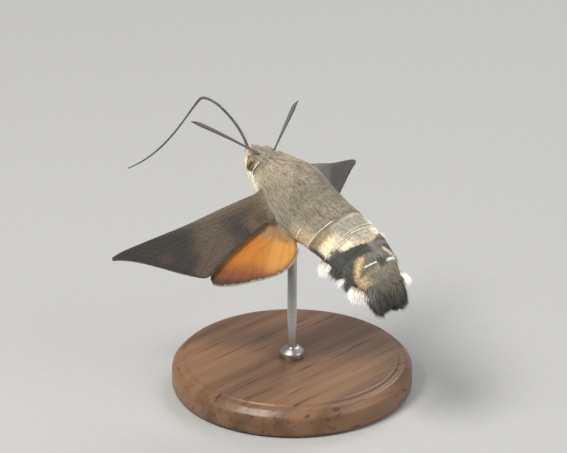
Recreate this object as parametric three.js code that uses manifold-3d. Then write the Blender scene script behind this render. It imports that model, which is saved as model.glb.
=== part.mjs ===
// Hummingbird hawk moth, life size, hovering with spread wings on a plain display stand.
// Millimetres, +Z up. The origin is the centre of the stand's underside and the moth faces -Y.
// The moth is laid out in its own frame first: +X forward, +Y to its left, +Z towards its back,
// with the middle of the thorax at zero. The whole animal is then pitched, banked and lifted.
import * as THREE from 'three';
import { mergeVertices } from 'three/addons/utils/BufferGeometryUtils.js';
import Module from 'manifold-3d';

const wasm = await Module();
wasm.setup();

const rad = THREE.MathUtils.degToRad;
const LEFT = 1;
const RIGHT = -1;

// Clear space left between neighbouring solids.
const GAP = 0.3;

// Stand.
const BASE_RADIUS = 15.5;
const BASE_HEIGHT = 4;
const BASE_CHAMFER = 0.9;
const BASE_STEP_RADIUS = 14.0;
const BASE_STEP_HEIGHT = 0.35;
const ROD_RADIUS = 0.6;
const COLLAR_RADIUS = 1.6;
const COLLAR_HEIGHT = 1.4;
const COLLAR_UPRIGHT_SHARE = 0.6;
const COLLAR_LIP = 0.25;
const THORAX_HEIGHT = 28;
// Top of the rod before the thorax is cut out of it.
const ROD_TOP = THORAX_HEIGHT - 1;

// Attitude of the moth in the air.
const PITCH = rad(26.2);
const BANK = rad(14.7);
// Point of the underside that the rod reaches, in the moth's own frame.
const ROD_MEETS = new THREE.Vector3(-1.2, 0, -3.8);

// Outline of the body with its coat: half width, height above and depth below the spine at each x,
// and how far the spine itself lies to the left (negative is right) and up.
const BODY_OUTLINE = [
  { x: 7.9, half: 0.55, above: 0.1, below: 1.0, left: 0, up: 0 },
  { x: 7.3, half: 1.3, above: 0.95, below: 1.65, left: 0, up: 0 },
  { x: 6.3, half: 1.85, above: 1.75, below: 2.1, left: 0, up: 0 },
  { x: 5.2, half: 2.2, above: 2.2, below: 2.4, left: 0, up: 0 },
  { x: 4.2, half: 2.7, above: 2.7, below: 2.8, left: 0, up: 0 },
  { x: 2.6, half: 3.45, above: 3.3, below: 3.4, left: 0, up: 0 },
  { x: 0.6, half: 4.1, above: 3.8, below: 3.85, left: 0, up: 0 },
  { x: -1.6, half: 4.4, above: 3.95, below: 3.8, left: 0, up: 0 },
  { x: -4.0, half: 4.35, above: 3.75, below: 3.4, left: 0, up: 0.05 },
  { x: -7.5, half: 4.15, above: 3.35, below: 3.0, left: -0.15, up: 0.3 },
  { x: -11.0, half: 4.05, above: 3.15, below: 2.8, left: -0.35, up: 0.55 },
  { x: -14.0, half: 3.8, above: 2.95, below: 2.6, left: -0.35, up: 0.55 },
  { x: -16.2, half: 3.35, above: 2.5, below: 2.25, left: -0.3, up: 0.4 },
  { x: -18.0, half: 2.6, above: 1.9, below: 1.7, left: -0.3, up: 0.3 },
];
const NECK_X = 4.75;
const WAIST_X = -4.5;
const ABDOMEN_CUTS = [-4.5, -8.8, -12.9, -17.0];

// Sides and rings of the round solids.
const BODY_SIDES = 24;
const HEAD_RINGS = 8;
const THORAX_RINGS = 9;
const ABDOMEN_RINGS = 6;
const EYE_SIDES = 14;
const PALP_SIDES = 12;
const TUFT_SIDES = 10;
const LOBE_SIDES = 12;
const ANTENNA_SIDES = 7;
const ANTENNA_RINGS = 14;
const PROBOSCIS_SIDES = 8;
const PROBOSCIS_UPPER_RINGS = 10;
const PROBOSCIS_LOWER_RINGS = 18;
const LEG_SIDES = 6;
const LEG_RINGS = 10;
const BASE_SIDES = 40;
const ROD_SIDES = 12;
// Rings of a ball for each of its sides.
const BALL_RINGS_PER_SIDE = 0.7;
// Vertices nearer than this are one.
const MERGE_DISTANCE = 1e-4;
// Width of a block that is wider than the whole animal.
const BLOCK_WIDTH = 40;

// Tufts along the flanks of the abdomen: where each is rooted, how far it reaches and its size.
const FLANK_TUFTS = [
  { x: -10.4, reach: 2.3, long: 1.9, wide: 0.95, sweep: 52 },
  { x: -12.2, reach: 1.9, long: 1.6, wide: 0.85, sweep: 58 },
  { x: -14.1, reach: 1.7, long: 1.5, wide: 0.8, sweep: 60 },
  { x: -15.9, reach: 1.6, long: 1.9, wide: 1.0, sweep: 64 },
];
const TUFT_DROP = 0.7;
const TUFT_INSET = 0.75;
const TUFT_BACK_SHARE = 0.45;
const TUFT_OUT_SHARE = 0.55;
const TUFT_FLATNESS = 0.8;

// Tail brush: flat lobes side by side.
const LOBE_COUNT = 5;
const LOBE_SPACING = 0.98;
const LOBE_LENGTH = 6.6;
const LOBE_WIDTH = 2.0;
const LOBE_DEPTH = 2.4;
const LOBE_FAN = rad(5);
const LOBE_SHORTENING = 0.25;
const LOBE_STAGGER = 0.1;
const LOBE_SAG = 0.05;
const BRUSH_END_X = -22.7;
const BRUSH_CENTRE_Y = 0.35;

// Head pieces.
const EYE_RADIUS = 1.1;
const EYE_FLATTENING = 0.86;
const EYE_CENTRE = new THREE.Vector3(5.75, 1.18, 0.2);
const PALP_CENTRE = new THREE.Vector3(7.3, 0.52, -0.42);
const PALP_SIZE = new THREE.Vector3(1.2, 0.42, 0.72);
const PALP_TILT = rad(36);
const ANTENNAE = {
  left: { base: new THREE.Vector3(5.95, 0.85, 1.95), tip: new THREE.Vector3(13.2, 6.1, 4.8), bow: 0.5 },
  right: { base: new THREE.Vector3(5.2, -1.55, 1.75), tip: new THREE.Vector3(9.2, -8.6, 2.2), bow: 0.1 },
};
const ANTENNA_ROOT_RADIUS = 0.25;
const ANTENNA_CLUB_RADIUS = 0.36;
// The club is a power of half a sine wave that begins at a share of the antenna's length.
const CLUB_START = 0.35;
const CLUB_WAVE = 1.18;
const CLUB_DELAY = 1.6;
const CLUB_POWER = 3;
const MOUTH = new THREE.Vector3(7.5, 0, -1.75);
const ELBOW = new THREE.Vector3(16.7, -0.1, 1.6);
const ELBOW_STEP = new THREE.Vector3(0.5, 0.35, -0.3);
const PROBOSCIS_RISE = [new THREE.Vector3(9.2, -0.8, -0.9), new THREE.Vector3(11.0, -1.1, 1.2)];
const PROBOSCIS_FALL = [new THREE.Vector3(17.9, 2.0, -1.4), new THREE.Vector3(17.9, 3.7, -8.7)];
const PROBOSCIS_TIP = new THREE.Vector3(21.0, 7.7, -12.7);
const PROBOSCIS_RADIUS = 0.26;

// Wings, drawn flat: span runs out from the root along the leading edge, depth runs back from it.
const WING_THICKNESS = 0.55;
const WING_ROOT = new THREE.Vector3(1.5, 3.6, 1.15);
const WING_POSE = {
  left: {
    side: LEFT,
    sweep: rad(28.2),
    depression: rad(49),
    rootTwist: rad(11.4),
    tipTwist: rad(11.4),
    hindTuck: 0,
  },
  right: {
    side: RIGHT,
    sweep: rad(10.9),
    depression: rad(44.8),
    rootTwist: rad(10),
    tipTwist: rad(58),
    hindTuck: rad(17),
  },
};
const TWISTED_SPAN = 12;
const FOREWING_LEAD = [[-1.2, 0.1], [6, 0.15], [12, 0.35], [18, 0.3], [22.2, 0.3], [24, 0.5]];
const FOREWING_TRAIL = [
  [-1.2, 3.5], [1.5, 4.1], [4.9, 5.0], [9.1, 6.4], [10.9, 7.2], [12.0, 7.4], [13.1, 6.95],
  [15.8, 5.25], [17.9, 3.8], [20.5, 2.2], [22.6, 1.2], [24, 0.75],
];
const HINDWING_PIVOT = [-1.2, 4.5];
const HINDWING_LEAD = [[-1.5, 3.6], [2, 3.8], [6, 4.8], [9, 5.8], [11, 7.0], [11.9, 7.8]];
const HINDWING_TRAIL = [
  [-1.5, 7.6], [-1.1, 8.7], [-0.5, 9.4], [0.7, 10.1], [2.4, 10.5], [4.6, 10.4],
  [6.7, 10.1], [8.8, 9.75], [10.6, 9.25], [11.4, 8.9], [11.9, 8.5],
];
const TIP_DROOP = 0.0014;
const WING_ARCH = 0.28;
const ARCH_DEPTH = 9;
// Steps along the span and across it, and how far the first are drawn towards the tip.
const FOREWING_STEPS = [20, 4];
const HINDWING_STEPS = [16, 4];
const TIP_CROWDING = 0.35;
// Length of the abdomen, by x, that the hindwings are kept clear of.
const HINDWING_CLEARS = [-3.5, -12];

// Legs lie folded against the underside: stations of x and of angle below the side of the body.
const LEG_RADIUS = 0.27;
const LEG_TAPER = [1.15, 0.95];
const LEG_PATHS = {
  fore: [[2.4, 66], [4.0, 60], [5.6, 66], [7.0, 78]],
  mid: [[0.6, 60], [-1.6, 53], [-4.2, 53], [-6.6, 58]],
  hind: [[-1.4, 70], [-5.0, 71], [-9.0, 72], [-13.4, 75]],
};

// Plain colours of the solids.
const LOOKS = {
  head: { color: 0x9b8d78, roughness: 0.9 },
  thorax: { color: 0x91846f, roughness: 0.9 },
  abdomen: { color: 0x7d6f60, roughness: 0.9 },
  brush: { color: 0x2b2522, roughness: 0.9 },
  proboscis: { color: 0x2d2824, roughness: 0.5 },
  eye: { color: 0x4a3324, roughness: 0.25 },
  palp: { color: 0xcfc4ae, roughness: 0.9 },
  antenna: { color: 0x4d4740, roughness: 0.7 },
  forewing: { color: 0x4c4136, roughness: 0.8 },
  hindwing: { color: 0xd98432, roughness: 0.8 },
  leg: { color: 0x8a7c68, roughness: 0.8 },
  base: { color: 0x3b2619, roughness: 0.45 },
  rod: { color: 0x9a9a98, roughness: 0.3, metalness: 0.9 },
};

// A smooth curve y(x) through stations that are sorted by x, with finite-difference slopes.
function smoothThrough(stations) {
  const points = [...stations].sort((p, q) => p[0] - q[0]);
  const last = points.length - 1;
  const slopes = points.map((point, i) => {
    const before = points[Math.max(i - 1, 0)];
    const after = points[Math.min(i + 1, last)];
    return (after[1] - before[1]) / (after[0] - before[0]);
  });
  return (x) => {
    let i = 0;
    while (i < last - 1 && x > points[i + 1][0]) i += 1;
    const width = points[i + 1][0] - points[i][0];
    const t = THREE.MathUtils.clamp((x - points[i][0]) / width, 0, 1);
    const t2 = t * t;
    const t3 = t2 * t;
    return points[i][1] * (2 * t3 - 3 * t2 + 1) + slopes[i] * width * (t3 - 2 * t2 + t)
      + points[i + 1][1] * (3 * t2 - 2 * t3) + slopes[i + 1] * width * (t3 - t2);
  };
}

const bodyHalf = smoothThrough(BODY_OUTLINE.map((s) => [s.x, s.half]));
const bodyAbove = smoothThrough(BODY_OUTLINE.map((s) => [s.x, s.above]));
const bodyBelow = smoothThrough(BODY_OUTLINE.map((s) => [s.x, s.below]));
const spineLeft = smoothThrough(BODY_OUTLINE.map((s) => [s.x, s.left]));
const spineUp = smoothThrough(BODY_OUTLINE.map((s) => [s.x, s.up]));

// Point of the body's surface at x and at an angle from the left side, grown by a margin.
function bodyPoint(x, angle, margin = 0) {
  const height = Math.sin(angle) >= 0 ? bodyAbove(x) : bodyBelow(x);
  return new THREE.Vector3(
    x,
    spineLeft(x) + (bodyHalf(x) + margin) * Math.cos(angle),
    spineUp(x) + (height + margin) * Math.sin(angle),
  );
}

// Keeps only positions, shares the vertices and makes the faces point out of the solid.
function asSolid(geometry) {
  geometry.deleteAttribute('normal');
  geometry.deleteAttribute('uv');
  const merged = mergeVertices(geometry, MERGE_DISTANCE);
  const position = merged.attributes.position;
  const index = merged.index.array;
  const corners = [new THREE.Vector3(), new THREE.Vector3(), new THREE.Vector3()];
  let volume = 0;
  for (let i = 0; i < index.length; i += 3) {
    corners.forEach((corner, k) => corner.fromBufferAttribute(position, index[i + k]));
    volume += corners[0].dot(corners[1].clone().cross(corners[2])) / 6;
  }
  if (volume < 0) {
    for (let i = 0; i < index.length; i += 3) {
      [index[i + 1], index[i + 2]] = [index[i + 2], index[i + 1]];
    }
  }
  return merged;
}

function toManifold(geometry) {
  const solid = asSolid(geometry.clone());
  return new wasm.Manifold(new wasm.Mesh({
    numProp: 3,
    vertProperties: new Float32Array(solid.attributes.position.array),
    triVerts: new Uint32Array(solid.index.array),
  }));
}

function fromManifold(manifold) {
  const mesh = manifold.getMesh();
  const geometry = new THREE.BufferGeometry();
  geometry.setAttribute('position', new THREE.BufferAttribute(new Float32Array(mesh.vertProperties), 3));
  geometry.setIndex(Array.from(mesh.triVerts));
  return geometry;
}

function joined(...geometries) {
  return fromManifold(geometries.map(toManifold).reduce((sum, next) => sum.add(next)));
}

function cutBy(geometry, ...tools) {
  return fromManifold(tools.map(toManifold).reduce((rest, tool) => rest.subtract(tool), toManifold(geometry)));
}

// Moves every vertex of a geometry to the place a function gives for it.
function reshape(geometry, place) {
  const position = geometry.attributes.position;
  const vertex = new THREE.Vector3();
  for (let i = 0; i < position.count; i += 1) {
    vertex.fromBufferAttribute(position, i);
    const moved = place(vertex);
    position.setXYZ(i, moved.x, moved.y, moved.z);
  }
  return asSolid(geometry);
}

// A length of the body between two cuts.
function bodyLength(frontX, rearX, rings, margin = 0) {
  const drum = new THREE.CylinderGeometry(1, 1, 1, BODY_SIDES, rings, false);
  return reshape(drum, (v) => {
    const x = THREE.MathUtils.lerp(rearX, frontX, v.y + 0.5);
    const radius = Math.hypot(v.x, v.z);
    const spine = new THREE.Vector3(x, spineLeft(x), spineUp(x));
    return spine.lerp(bodyPoint(x, Math.atan2(v.z, v.x), margin), radius);
  });
}

// A round solid along a curve, with a radius that changes along it.
function taperedTube(curve, radiusAt, rings, sides) {
  const drum = new THREE.CylinderGeometry(1, 1, 1, sides, rings, false);
  const frames = curve.computeFrenetFrames(rings, false);
  return reshape(drum, (v) => {
    const t = v.y + 0.5;
    const station = Math.round(t * rings);
    const radius = radiusAt(t);
    return curve.getPointAt(t)
      .addScaledVector(frames.normals[station], v.x * radius)
      .addScaledVector(frames.binormals[station], v.z * radius);
  });
}

function ellipsoid(size, centre, sides, turn = new THREE.Euler()) {
  const ball = new THREE.SphereGeometry(1, sides, Math.round(sides * BALL_RINGS_PER_SIDE));
  const place = new THREE.Matrix4().compose(centre, new THREE.Quaternion().setFromEuler(turn), size);
  return reshape(ball, (v) => v.clone().applyMatrix4(place));
}

function mirrored(vector, side) {
  return new THREE.Vector3(vector.x, vector.y * side, vector.z);
}

function eyeShape(side, margin = 0) {
  const radius = EYE_RADIUS + margin;
  const size = new THREE.Vector3(radius, radius * EYE_FLATTENING, radius);
  return ellipsoid(size, mirrored(EYE_CENTRE, side), EYE_SIDES);
}

function palpShape(side, margin = 0) {
  const size = PALP_SIZE.clone().addScalar(margin);
  return ellipsoid(size, mirrored(PALP_CENTRE, side), PALP_SIDES, new THREE.Euler(0, -PALP_TILT, 0));
}

function antennaShape(side, margin = 0) {
  const { base, tip, bow } = side === LEFT ? ANTENNAE.left : ANTENNAE.right;
  const middle = base.clone().lerp(tip, 0.5).add(new THREE.Vector3(0, 0, bow));
  const curve = new THREE.QuadraticBezierCurve3(base, middle, tip);
  const wave = (t) => Math.sin(Math.PI * THREE.MathUtils.clamp(t ** CLUB_DELAY / CLUB_WAVE, 0, 1));
  const club = (t) => (t > CLUB_START ? wave(t) ** CLUB_POWER : 0);
  const radiusAt = (t) => margin + THREE.MathUtils.lerp(ANTENNA_ROOT_RADIUS, ANTENNA_CLUB_RADIUS, club(t));
  return taperedTube(curve, radiusAt, ANTENNA_RINGS, ANTENNA_SIDES);
}

function proboscisUpperShape(margin = 0) {
  const curve = new THREE.CubicBezierCurve3(MOUTH, ...PROBOSCIS_RISE, ELBOW);
  return taperedTube(curve, () => PROBOSCIS_RADIUS + margin, PROBOSCIS_UPPER_RINGS, PROBOSCIS_SIDES);
}

function proboscisLowerShape() {
  const start = ELBOW.clone().add(ELBOW_STEP);
  const curve = new THREE.CubicBezierCurve3(start, ...PROBOSCIS_FALL, PROBOSCIS_TIP);
  return taperedTube(curve, () => PROBOSCIS_RADIUS, PROBOSCIS_LOWER_RINGS, PROBOSCIS_SIDES);
}

// The two eyes grown by the gap, to be cut out of the flesh round them.
function eyeRooms() {
  return [eyeShape(LEFT, GAP), eyeShape(RIGHT, GAP)];
}

function headShape() {
  const whole = bodyLength(BODY_OUTLINE[0].x, NECK_X + GAP / 2, HEAD_RINGS);
  const palps = [palpShape(LEFT, GAP), palpShape(RIGHT, GAP)];
  const feelers = [antennaShape(LEFT, GAP), antennaShape(RIGHT, GAP)];
  return cutBy(whole, ...eyeRooms(), ...palps, ...feelers, proboscisUpperShape(GAP));
}

function thoraxShape(margin = 0) {
  return bodyLength(NECK_X - GAP / 2 + margin, WAIST_X + GAP / 2 - margin, THORAX_RINGS, margin);
}

function flankTuft(tuft, side) {
  const sweep = rad(tuft.sweep);
  const root = bodyPoint(tuft.x, side === LEFT ? 0 : Math.PI);
  const centre = new THREE.Vector3(
    tuft.x - Math.sin(sweep) * tuft.reach * TUFT_BACK_SHARE,
    root.y + (Math.cos(sweep) * tuft.reach * TUFT_OUT_SHARE - TUFT_INSET) * side,
    root.z - TUFT_DROP,
  );
  const size = new THREE.Vector3(tuft.long, tuft.wide * TUFT_FLATNESS, tuft.wide);
  return ellipsoid(size, centre, TUFT_SIDES, new THREE.Euler(0, 0, (Math.PI / 2 + sweep) * side));
}

function abdomenShape(length) {
  const front = ABDOMEN_CUTS[length] - GAP / 2;
  const rear = ABDOMEN_CUTS[length + 1] + GAP / 2;
  const own = FLANK_TUFTS.filter((tuft) => tuft.x < front && tuft.x > rear);
  const tufts = own.flatMap((tuft) => [flankTuft(tuft, LEFT), flankTuft(tuft, RIGHT)]);
  const whole = joined(bodyLength(front, rear, ABDOMEN_RINGS), ...tufts);
  const slab = new THREE.BoxGeometry(front - rear, BLOCK_WIDTH, BLOCK_WIDTH);
  slab.translate((front + rear) / 2, 0, 0);
  return fromManifold(toManifold(whole).intersect(toManifold(slab)));
}

function tailBrushShape() {
  const lobes = [];
  for (let i = 0; i < LOBE_COUNT; i += 1) {
    const offset = i - (LOBE_COUNT - 1) / 2;
    const size = new THREE.Vector3(LOBE_LENGTH / 2, LOBE_WIDTH / 2, LOBE_DEPTH / 2);
    const shorten = LOBE_SHORTENING * offset * offset;
    const centre = new THREE.Vector3(
      BRUSH_END_X + LOBE_LENGTH / 2 + shorten,
      BRUSH_CENTRE_Y + offset * LOBE_SPACING,
      spineUp(BRUSH_END_X) + LOBE_STAGGER * (i % 2) - LOBE_SAG * Math.abs(offset),
    );
    lobes.push(ellipsoid(size, centre, LOBE_SIDES, new THREE.Euler(0, 0, -LOBE_FAN * offset)));
  }
  const front = ABDOMEN_CUTS.at(-1) - GAP / 2;
  const slab = new THREE.BoxGeometry(BLOCK_WIDTH, BLOCK_WIDTH, BLOCK_WIDTH);
  slab.translate(front - BLOCK_WIDTH / 2, 0, 0);
  return fromManifold(toManifold(joined(...lobes)).intersect(toManifold(slab)));
}

// The three directions of a wing at a span: out along the leading edge, back across it, and up
// from it. The wing twists about its leading edge from the root out to the twisted span.
function wingAxes(pose, span) {
  const { side, sweep, depression, rootTwist, tipTwist } = pose;
  const twist = THREE.MathUtils.lerp(rootTwist, tipTwist, THREE.MathUtils.smoothstep(span, 0, TWISTED_SPAN));
  const out = new THREE.Vector3(
    Math.sin(sweep),
    Math.cos(sweep) * Math.cos(depression) * side,
    -Math.cos(sweep) * Math.sin(depression),
  );
  const flatBack = new THREE.Vector3(
    -Math.cos(sweep),
    Math.sin(sweep) * Math.cos(depression) * side,
    -Math.sin(sweep) * Math.sin(depression),
  );
  const flatUp = new THREE.Vector3(0, Math.sin(depression) * side, Math.cos(depression));
  const back = flatBack.clone().multiplyScalar(Math.cos(twist)).addScaledVector(flatUp, -Math.sin(twist));
  const up = flatUp.clone().multiplyScalar(Math.cos(twist)).addScaledVector(flatBack, Math.sin(twist));
  return { out, back, up };
}

// Gentle arch across a wing and droop towards its tip.
function wingHeight(span, depth) {
  const arch = Math.sin(Math.PI * THREE.MathUtils.clamp(depth / ARCH_DEPTH, 0, 1));
  return WING_ARCH * arch - TIP_DROOP * span * span;
}

// Place of a point of the flat wing, given by its span, depth and height over the wing's plane.
function wingPoint(pose, span, depth, height) {
  const { out, back, up } = wingAxes(pose, span);
  return mirrored(WING_ROOT, pose.side)
    .addScaledVector(out, span)
    .addScaledVector(back, depth)
    .addScaledVector(up, height + wingHeight(span, depth));
}

function wingShape(pose, outline, tuck, lift, steps) {
  const leadAt = smoothThrough(outline.lead);
  const trailAt = smoothThrough(outline.trail);
  const rootSpan = outline.lead[0][0];
  const tipSpan = outline.lead.at(-1)[0];
  const [pivotSpan, pivotDepth] = HINDWING_PIVOT;
  const slab = new THREE.BoxGeometry(1, 1, 1, ...steps, 1);
  return reshape(slab, (v) => {
    const t = v.x + 0.5;
    const share = THREE.MathUtils.lerp(t, Math.sin(t * Math.PI / 2), TIP_CROWDING);
    const flatSpan = THREE.MathUtils.lerp(rootSpan, tipSpan, share);
    const flatDepth = THREE.MathUtils.lerp(leadAt(flatSpan), trailAt(flatSpan), v.y + 0.5);
    const ds = flatSpan - pivotSpan;
    const dd = flatDepth - pivotDepth;
    const span = pivotSpan + ds * Math.cos(tuck) + dd * Math.sin(tuck);
    const depth = pivotDepth - ds * Math.sin(tuck) + dd * Math.cos(tuck);
    return wingPoint(pose, span, depth, lift + v.z * WING_THICKNESS);
  });
}

function forewingShape(pose) {
  const outline = { lead: FOREWING_LEAD, trail: FOREWING_TRAIL };
  return cutBy(wingShape(pose, outline, 0, 0, FOREWING_STEPS), thoraxShape(GAP));
}

function hindwingShape(pose) {
  const lift = -(WING_THICKNESS + GAP);
  const outline = { lead: HINDWING_LEAD, trail: HINDWING_TRAIL };
  const whole = wingShape(pose, outline, pose.hindTuck, lift, HINDWING_STEPS);
  return cutBy(whole, thoraxShape(GAP), bodyLength(...HINDWING_CLEARS, ABDOMEN_RINGS, GAP));
}

function legShape(stations, side) {
  const standOff = GAP + LEG_RADIUS;
  const points = stations.map(([x, below]) => mirrored(bodyPoint(x, -rad(below), standOff), side));
  const curve = new THREE.CatmullRomCurve3(points, false, 'centripetal');
  return taperedTube(curve, (t) => LEG_RADIUS * THREE.MathUtils.lerp(...LEG_TAPER, t), LEG_RINGS, LEG_SIDES);
}

// The turn and lift that carry the moth from its own frame to its place over the stand.
function mothPlacement() {
  const turn = new THREE.Euler(-BANK, -PITCH, -Math.PI / 2, 'ZYX');
  const place = new THREE.Matrix4().makeRotationFromEuler(turn);
  const overRod = ROD_MEETS.clone().applyMatrix4(place);
  return place.setPosition(-overRod.x, -overRod.y, THORAX_HEIGHT);
}

function standBaseShape() {
  const profile = [
    [0, 0],
    [BASE_RADIUS - BASE_CHAMFER / 2, 0],
    [BASE_RADIUS, BASE_CHAMFER / 2],
    [BASE_RADIUS, BASE_HEIGHT - BASE_STEP_HEIGHT - BASE_CHAMFER],
    [BASE_RADIUS - BASE_CHAMFER, BASE_HEIGHT - BASE_STEP_HEIGHT],
    [BASE_STEP_RADIUS, BASE_HEIGHT - BASE_STEP_HEIGHT],
    [BASE_STEP_RADIUS - BASE_STEP_HEIGHT, BASE_HEIGHT],
    [0, BASE_HEIGHT],
  ].map(([radius, height]) => new THREE.Vector2(radius, height));
  const lathe = new THREE.LatheGeometry(profile, BASE_SIDES);
  lathe.rotateX(Math.PI / 2);
  return asSolid(lathe);
}

function standRodShape() {
  const profile = [
    [0, BASE_HEIGHT],
    [COLLAR_RADIUS, BASE_HEIGHT],
    [COLLAR_RADIUS, BASE_HEIGHT + COLLAR_HEIGHT * COLLAR_UPRIGHT_SHARE],
    [ROD_RADIUS + COLLAR_LIP, BASE_HEIGHT + COLLAR_HEIGHT],
    [ROD_RADIUS, BASE_HEIGHT + COLLAR_HEIGHT],
    [ROD_RADIUS, ROD_TOP],
    [0, ROD_TOP],
  ].map(([radius, height]) => new THREE.Vector2(radius, height));
  const lathe = new THREE.LatheGeometry(profile, ROD_SIDES);
  lathe.rotateX(Math.PI / 2);
  const thorax = thoraxShape(GAP);
  thorax.applyMatrix4(mothPlacement());
  return cutBy(lathe, thorax);
}

function named(name, geometry, look) {
  const mesh = new THREE.Mesh(geometry, new THREE.MeshStandardMaterial(look));
  mesh.name = name;
  return mesh;
}

const group = new THREE.Group();
const moth = new THREE.Group();
moth.applyMatrix4(mothPlacement());
group.add(moth);

moth.add(named('head', headShape(), LOOKS.head));
moth.add(named('thorax', cutBy(thoraxShape(), ...eyeRooms()), LOOKS.thorax));
['front', 'middle', 'rear'].forEach((word, length) => {
  moth.add(named(`abdomen_${word}`, abdomenShape(length), LOOKS.abdomen));
});
moth.add(named('tail_brush', tailBrushShape(), LOOKS.brush));
moth.add(named('proboscis_upper', proboscisUpperShape(), LOOKS.proboscis));
moth.add(named('proboscis_lower', proboscisLowerShape(), LOOKS.proboscis));

Object.entries(WING_POSE).forEach(([word, pose]) => {
  moth.add(named(`eye_${word}`, eyeShape(pose.side), LOOKS.eye));
  moth.add(named(`palp_${word}`, palpShape(pose.side), LOOKS.palp));
  moth.add(named(`antenna_${word}`, antennaShape(pose.side), LOOKS.antenna));
  moth.add(named(`forewing_${word}`, forewingShape(pose), LOOKS.forewing));
  moth.add(named(`hindwing_${word}`, hindwingShape(pose), LOOKS.hindwing));
  Object.entries(LEG_PATHS).forEach(([pair, stations]) => {
    moth.add(named(`leg_${pair}_${word}`, legShape(stations, pose.side), LOOKS.leg));
  });
});

group.add(named('stand_base', standBaseShape(), LOOKS.base));
group.add(named('stand_rod', standRodShape(), LOOKS.rod));

export default group;
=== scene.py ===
"""Looks of the hummingbird hawk moth on its display stand.

The moth is worked out in its own frame, in mm: +X forward, +Y to its left, +Z towards its back,
with the middle of the thorax at zero. The angle `off` is measured round the body from the top of
the back, positive to the left. Everything is placed in the model's frame, in metres, at the end.
"""
import math

import bpy
import numpy as np
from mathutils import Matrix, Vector


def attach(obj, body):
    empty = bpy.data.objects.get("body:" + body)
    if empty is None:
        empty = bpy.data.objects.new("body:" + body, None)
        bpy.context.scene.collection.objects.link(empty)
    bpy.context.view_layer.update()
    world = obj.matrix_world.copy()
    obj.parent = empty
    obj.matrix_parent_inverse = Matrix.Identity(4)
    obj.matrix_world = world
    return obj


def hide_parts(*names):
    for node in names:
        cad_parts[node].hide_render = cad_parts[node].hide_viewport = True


MM = 0.001
LEFT, RIGHT = 1, -1
SIDES = {"left": LEFT, "right": RIGHT}
UPRIGHT = np.array([0.0, 0.0, 1.0])

# Stand, in mm.
BASE_RADIUS = 15.5
BASE_HEIGHT = 4.0
BASE_CHAMFER = 0.9
BASE_STEP_RADIUS = 14.0
BASE_STEP_HEIGHT = 0.35
BASE_BEND = 0.3
BASE_SIDES = 160
ROD_RADIUS = 0.6
ROD_BEND = 0.2
ROD_SIDES = 64
COLLAR_RADIUS = 1.6
COLLAR_HEIGHT = 1.4
COLLAR_SUNK = 0.4
BEND_STEPS = 6
THORAX_HEIGHT = 28.0

# Attitude of the moth in the air, and the point of its underside that the rod reaches.
PITCH = math.radians(26.2)
BANK = math.radians(14.7)
ROD_MEETS = np.array([-1.2, 0.0, -3.8])

# Outline of the coat: x, half width, height above and depth below the spine, spine left and up.
BODY_OUTLINE = [
    (7.9, 0.55, 0.1, 1.0, 0, 0),
    (7.3, 1.3, 0.95, 1.65, 0, 0),
    (6.3, 1.85, 1.75, 2.1, 0, 0),
    (5.2, 2.2, 2.2, 2.4, 0, 0),
    (4.2, 2.7, 2.7, 2.8, 0, 0),
    (2.6, 3.45, 3.3, 3.4, 0, 0),
    (0.6, 4.1, 3.8, 3.85, 0, 0),
    (-1.6, 4.4, 3.95, 3.8, 0, 0),
    (-4.0, 4.35, 3.75, 3.4, 0, 0.05),
    (-7.5, 4.15, 3.35, 3.0, -0.15, 0.3),
    (-11.0, 4.05, 3.15, 2.8, -0.35, 0.55),
    (-14.0, 3.8, 2.95, 2.6, -0.35, 0.55),
    (-16.2, 3.35, 2.5, 2.25, -0.3, 0.4),
    (-18.0, 2.6, 1.9, 1.7, -0.3, 0.3),
]
NOSE_X = 7.9
NOSE_POLE = np.array([8.05, 0.0, -0.45])
NECK_X = 4.75
WAIST_X = -4.5
TAIL_X = -18.6
# Folds of the coat: height, then x and half length, then degrees off the top and half width.
COAT_FOLDS = [
    (-0.03, (4.62, 0.3), None),
    (0.05, (3.75, 0.55), None),
    (0.2, (0.2, 2.4), (54, 17)),
    (-0.05, (-0.4, 2.6), (31, 7)),
    (-0.05, (-4.75, 0.45), None),
]
# Rear edges of the body's rings, and how far the coat steps down behind each.
RING_EDGES = [-8.65, -11.45, -13.8, -16.3]
RING_STEP = 0.12
# How deep the coat is at each x, and how long and wide its tufts are.
COAT_DEPTH = [(8.0, 0.1), (6.5, 0.16), (5.2, 0.24), (4.2, 0.32), (2.6, 0.42), (-3.8, 0.42),
              (-5.6, 0.3), (-9.0, 0.24), (-14.0, 0.24), (-18.6, 0.4)]
TUFT_LENGTH = [(8.0, 0.28), (6.6, 0.38), (5.2, 0.55), (4.4, 0.8), (3.0, 1.15), (-3.4, 1.2),
               (-4.8, 0.95), (-6.4, 0.75), (-12.0, 0.75), (-15.6, 0.85), (-17.0, 1.05), (-18.6, 1.2)]
TUFT_WIDTH = [(8.0, 0.08), (5.2, 0.1), (3.6, 0.12), (-18.6, 0.13)]
# Pieces of the coat: front, rear, tufts per square mm, seed, slot, its side if it is a half, and
# how tidy its locks are.
COAT_PIECES = {
    "coat_head": (7.85, NECK_X, 200, 11, "coat", None, 0.0),
    "coat_thorax_left": (NECK_X + 0.25, WAIST_X, 125, 21, "coat", LEFT, 0.0),
    "coat_thorax_right": (NECK_X + 0.25, WAIST_X, 125, 19, "coat", RIGHT, 0.0),
    "coat_abdomen_front": (WAIST_X + 0.6, -8.6, 125, 31, "abdomen_coat", None, 0.3),
    "coat_abdomen_middle": (-8.4, -13.0, 125, 32, "abdomen_coat", None, 0.3),
    "coat_abdomen_rear": (-12.7, TAIL_X, 120, 33, "abdomen_coat", None, 0.1),
}
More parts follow.
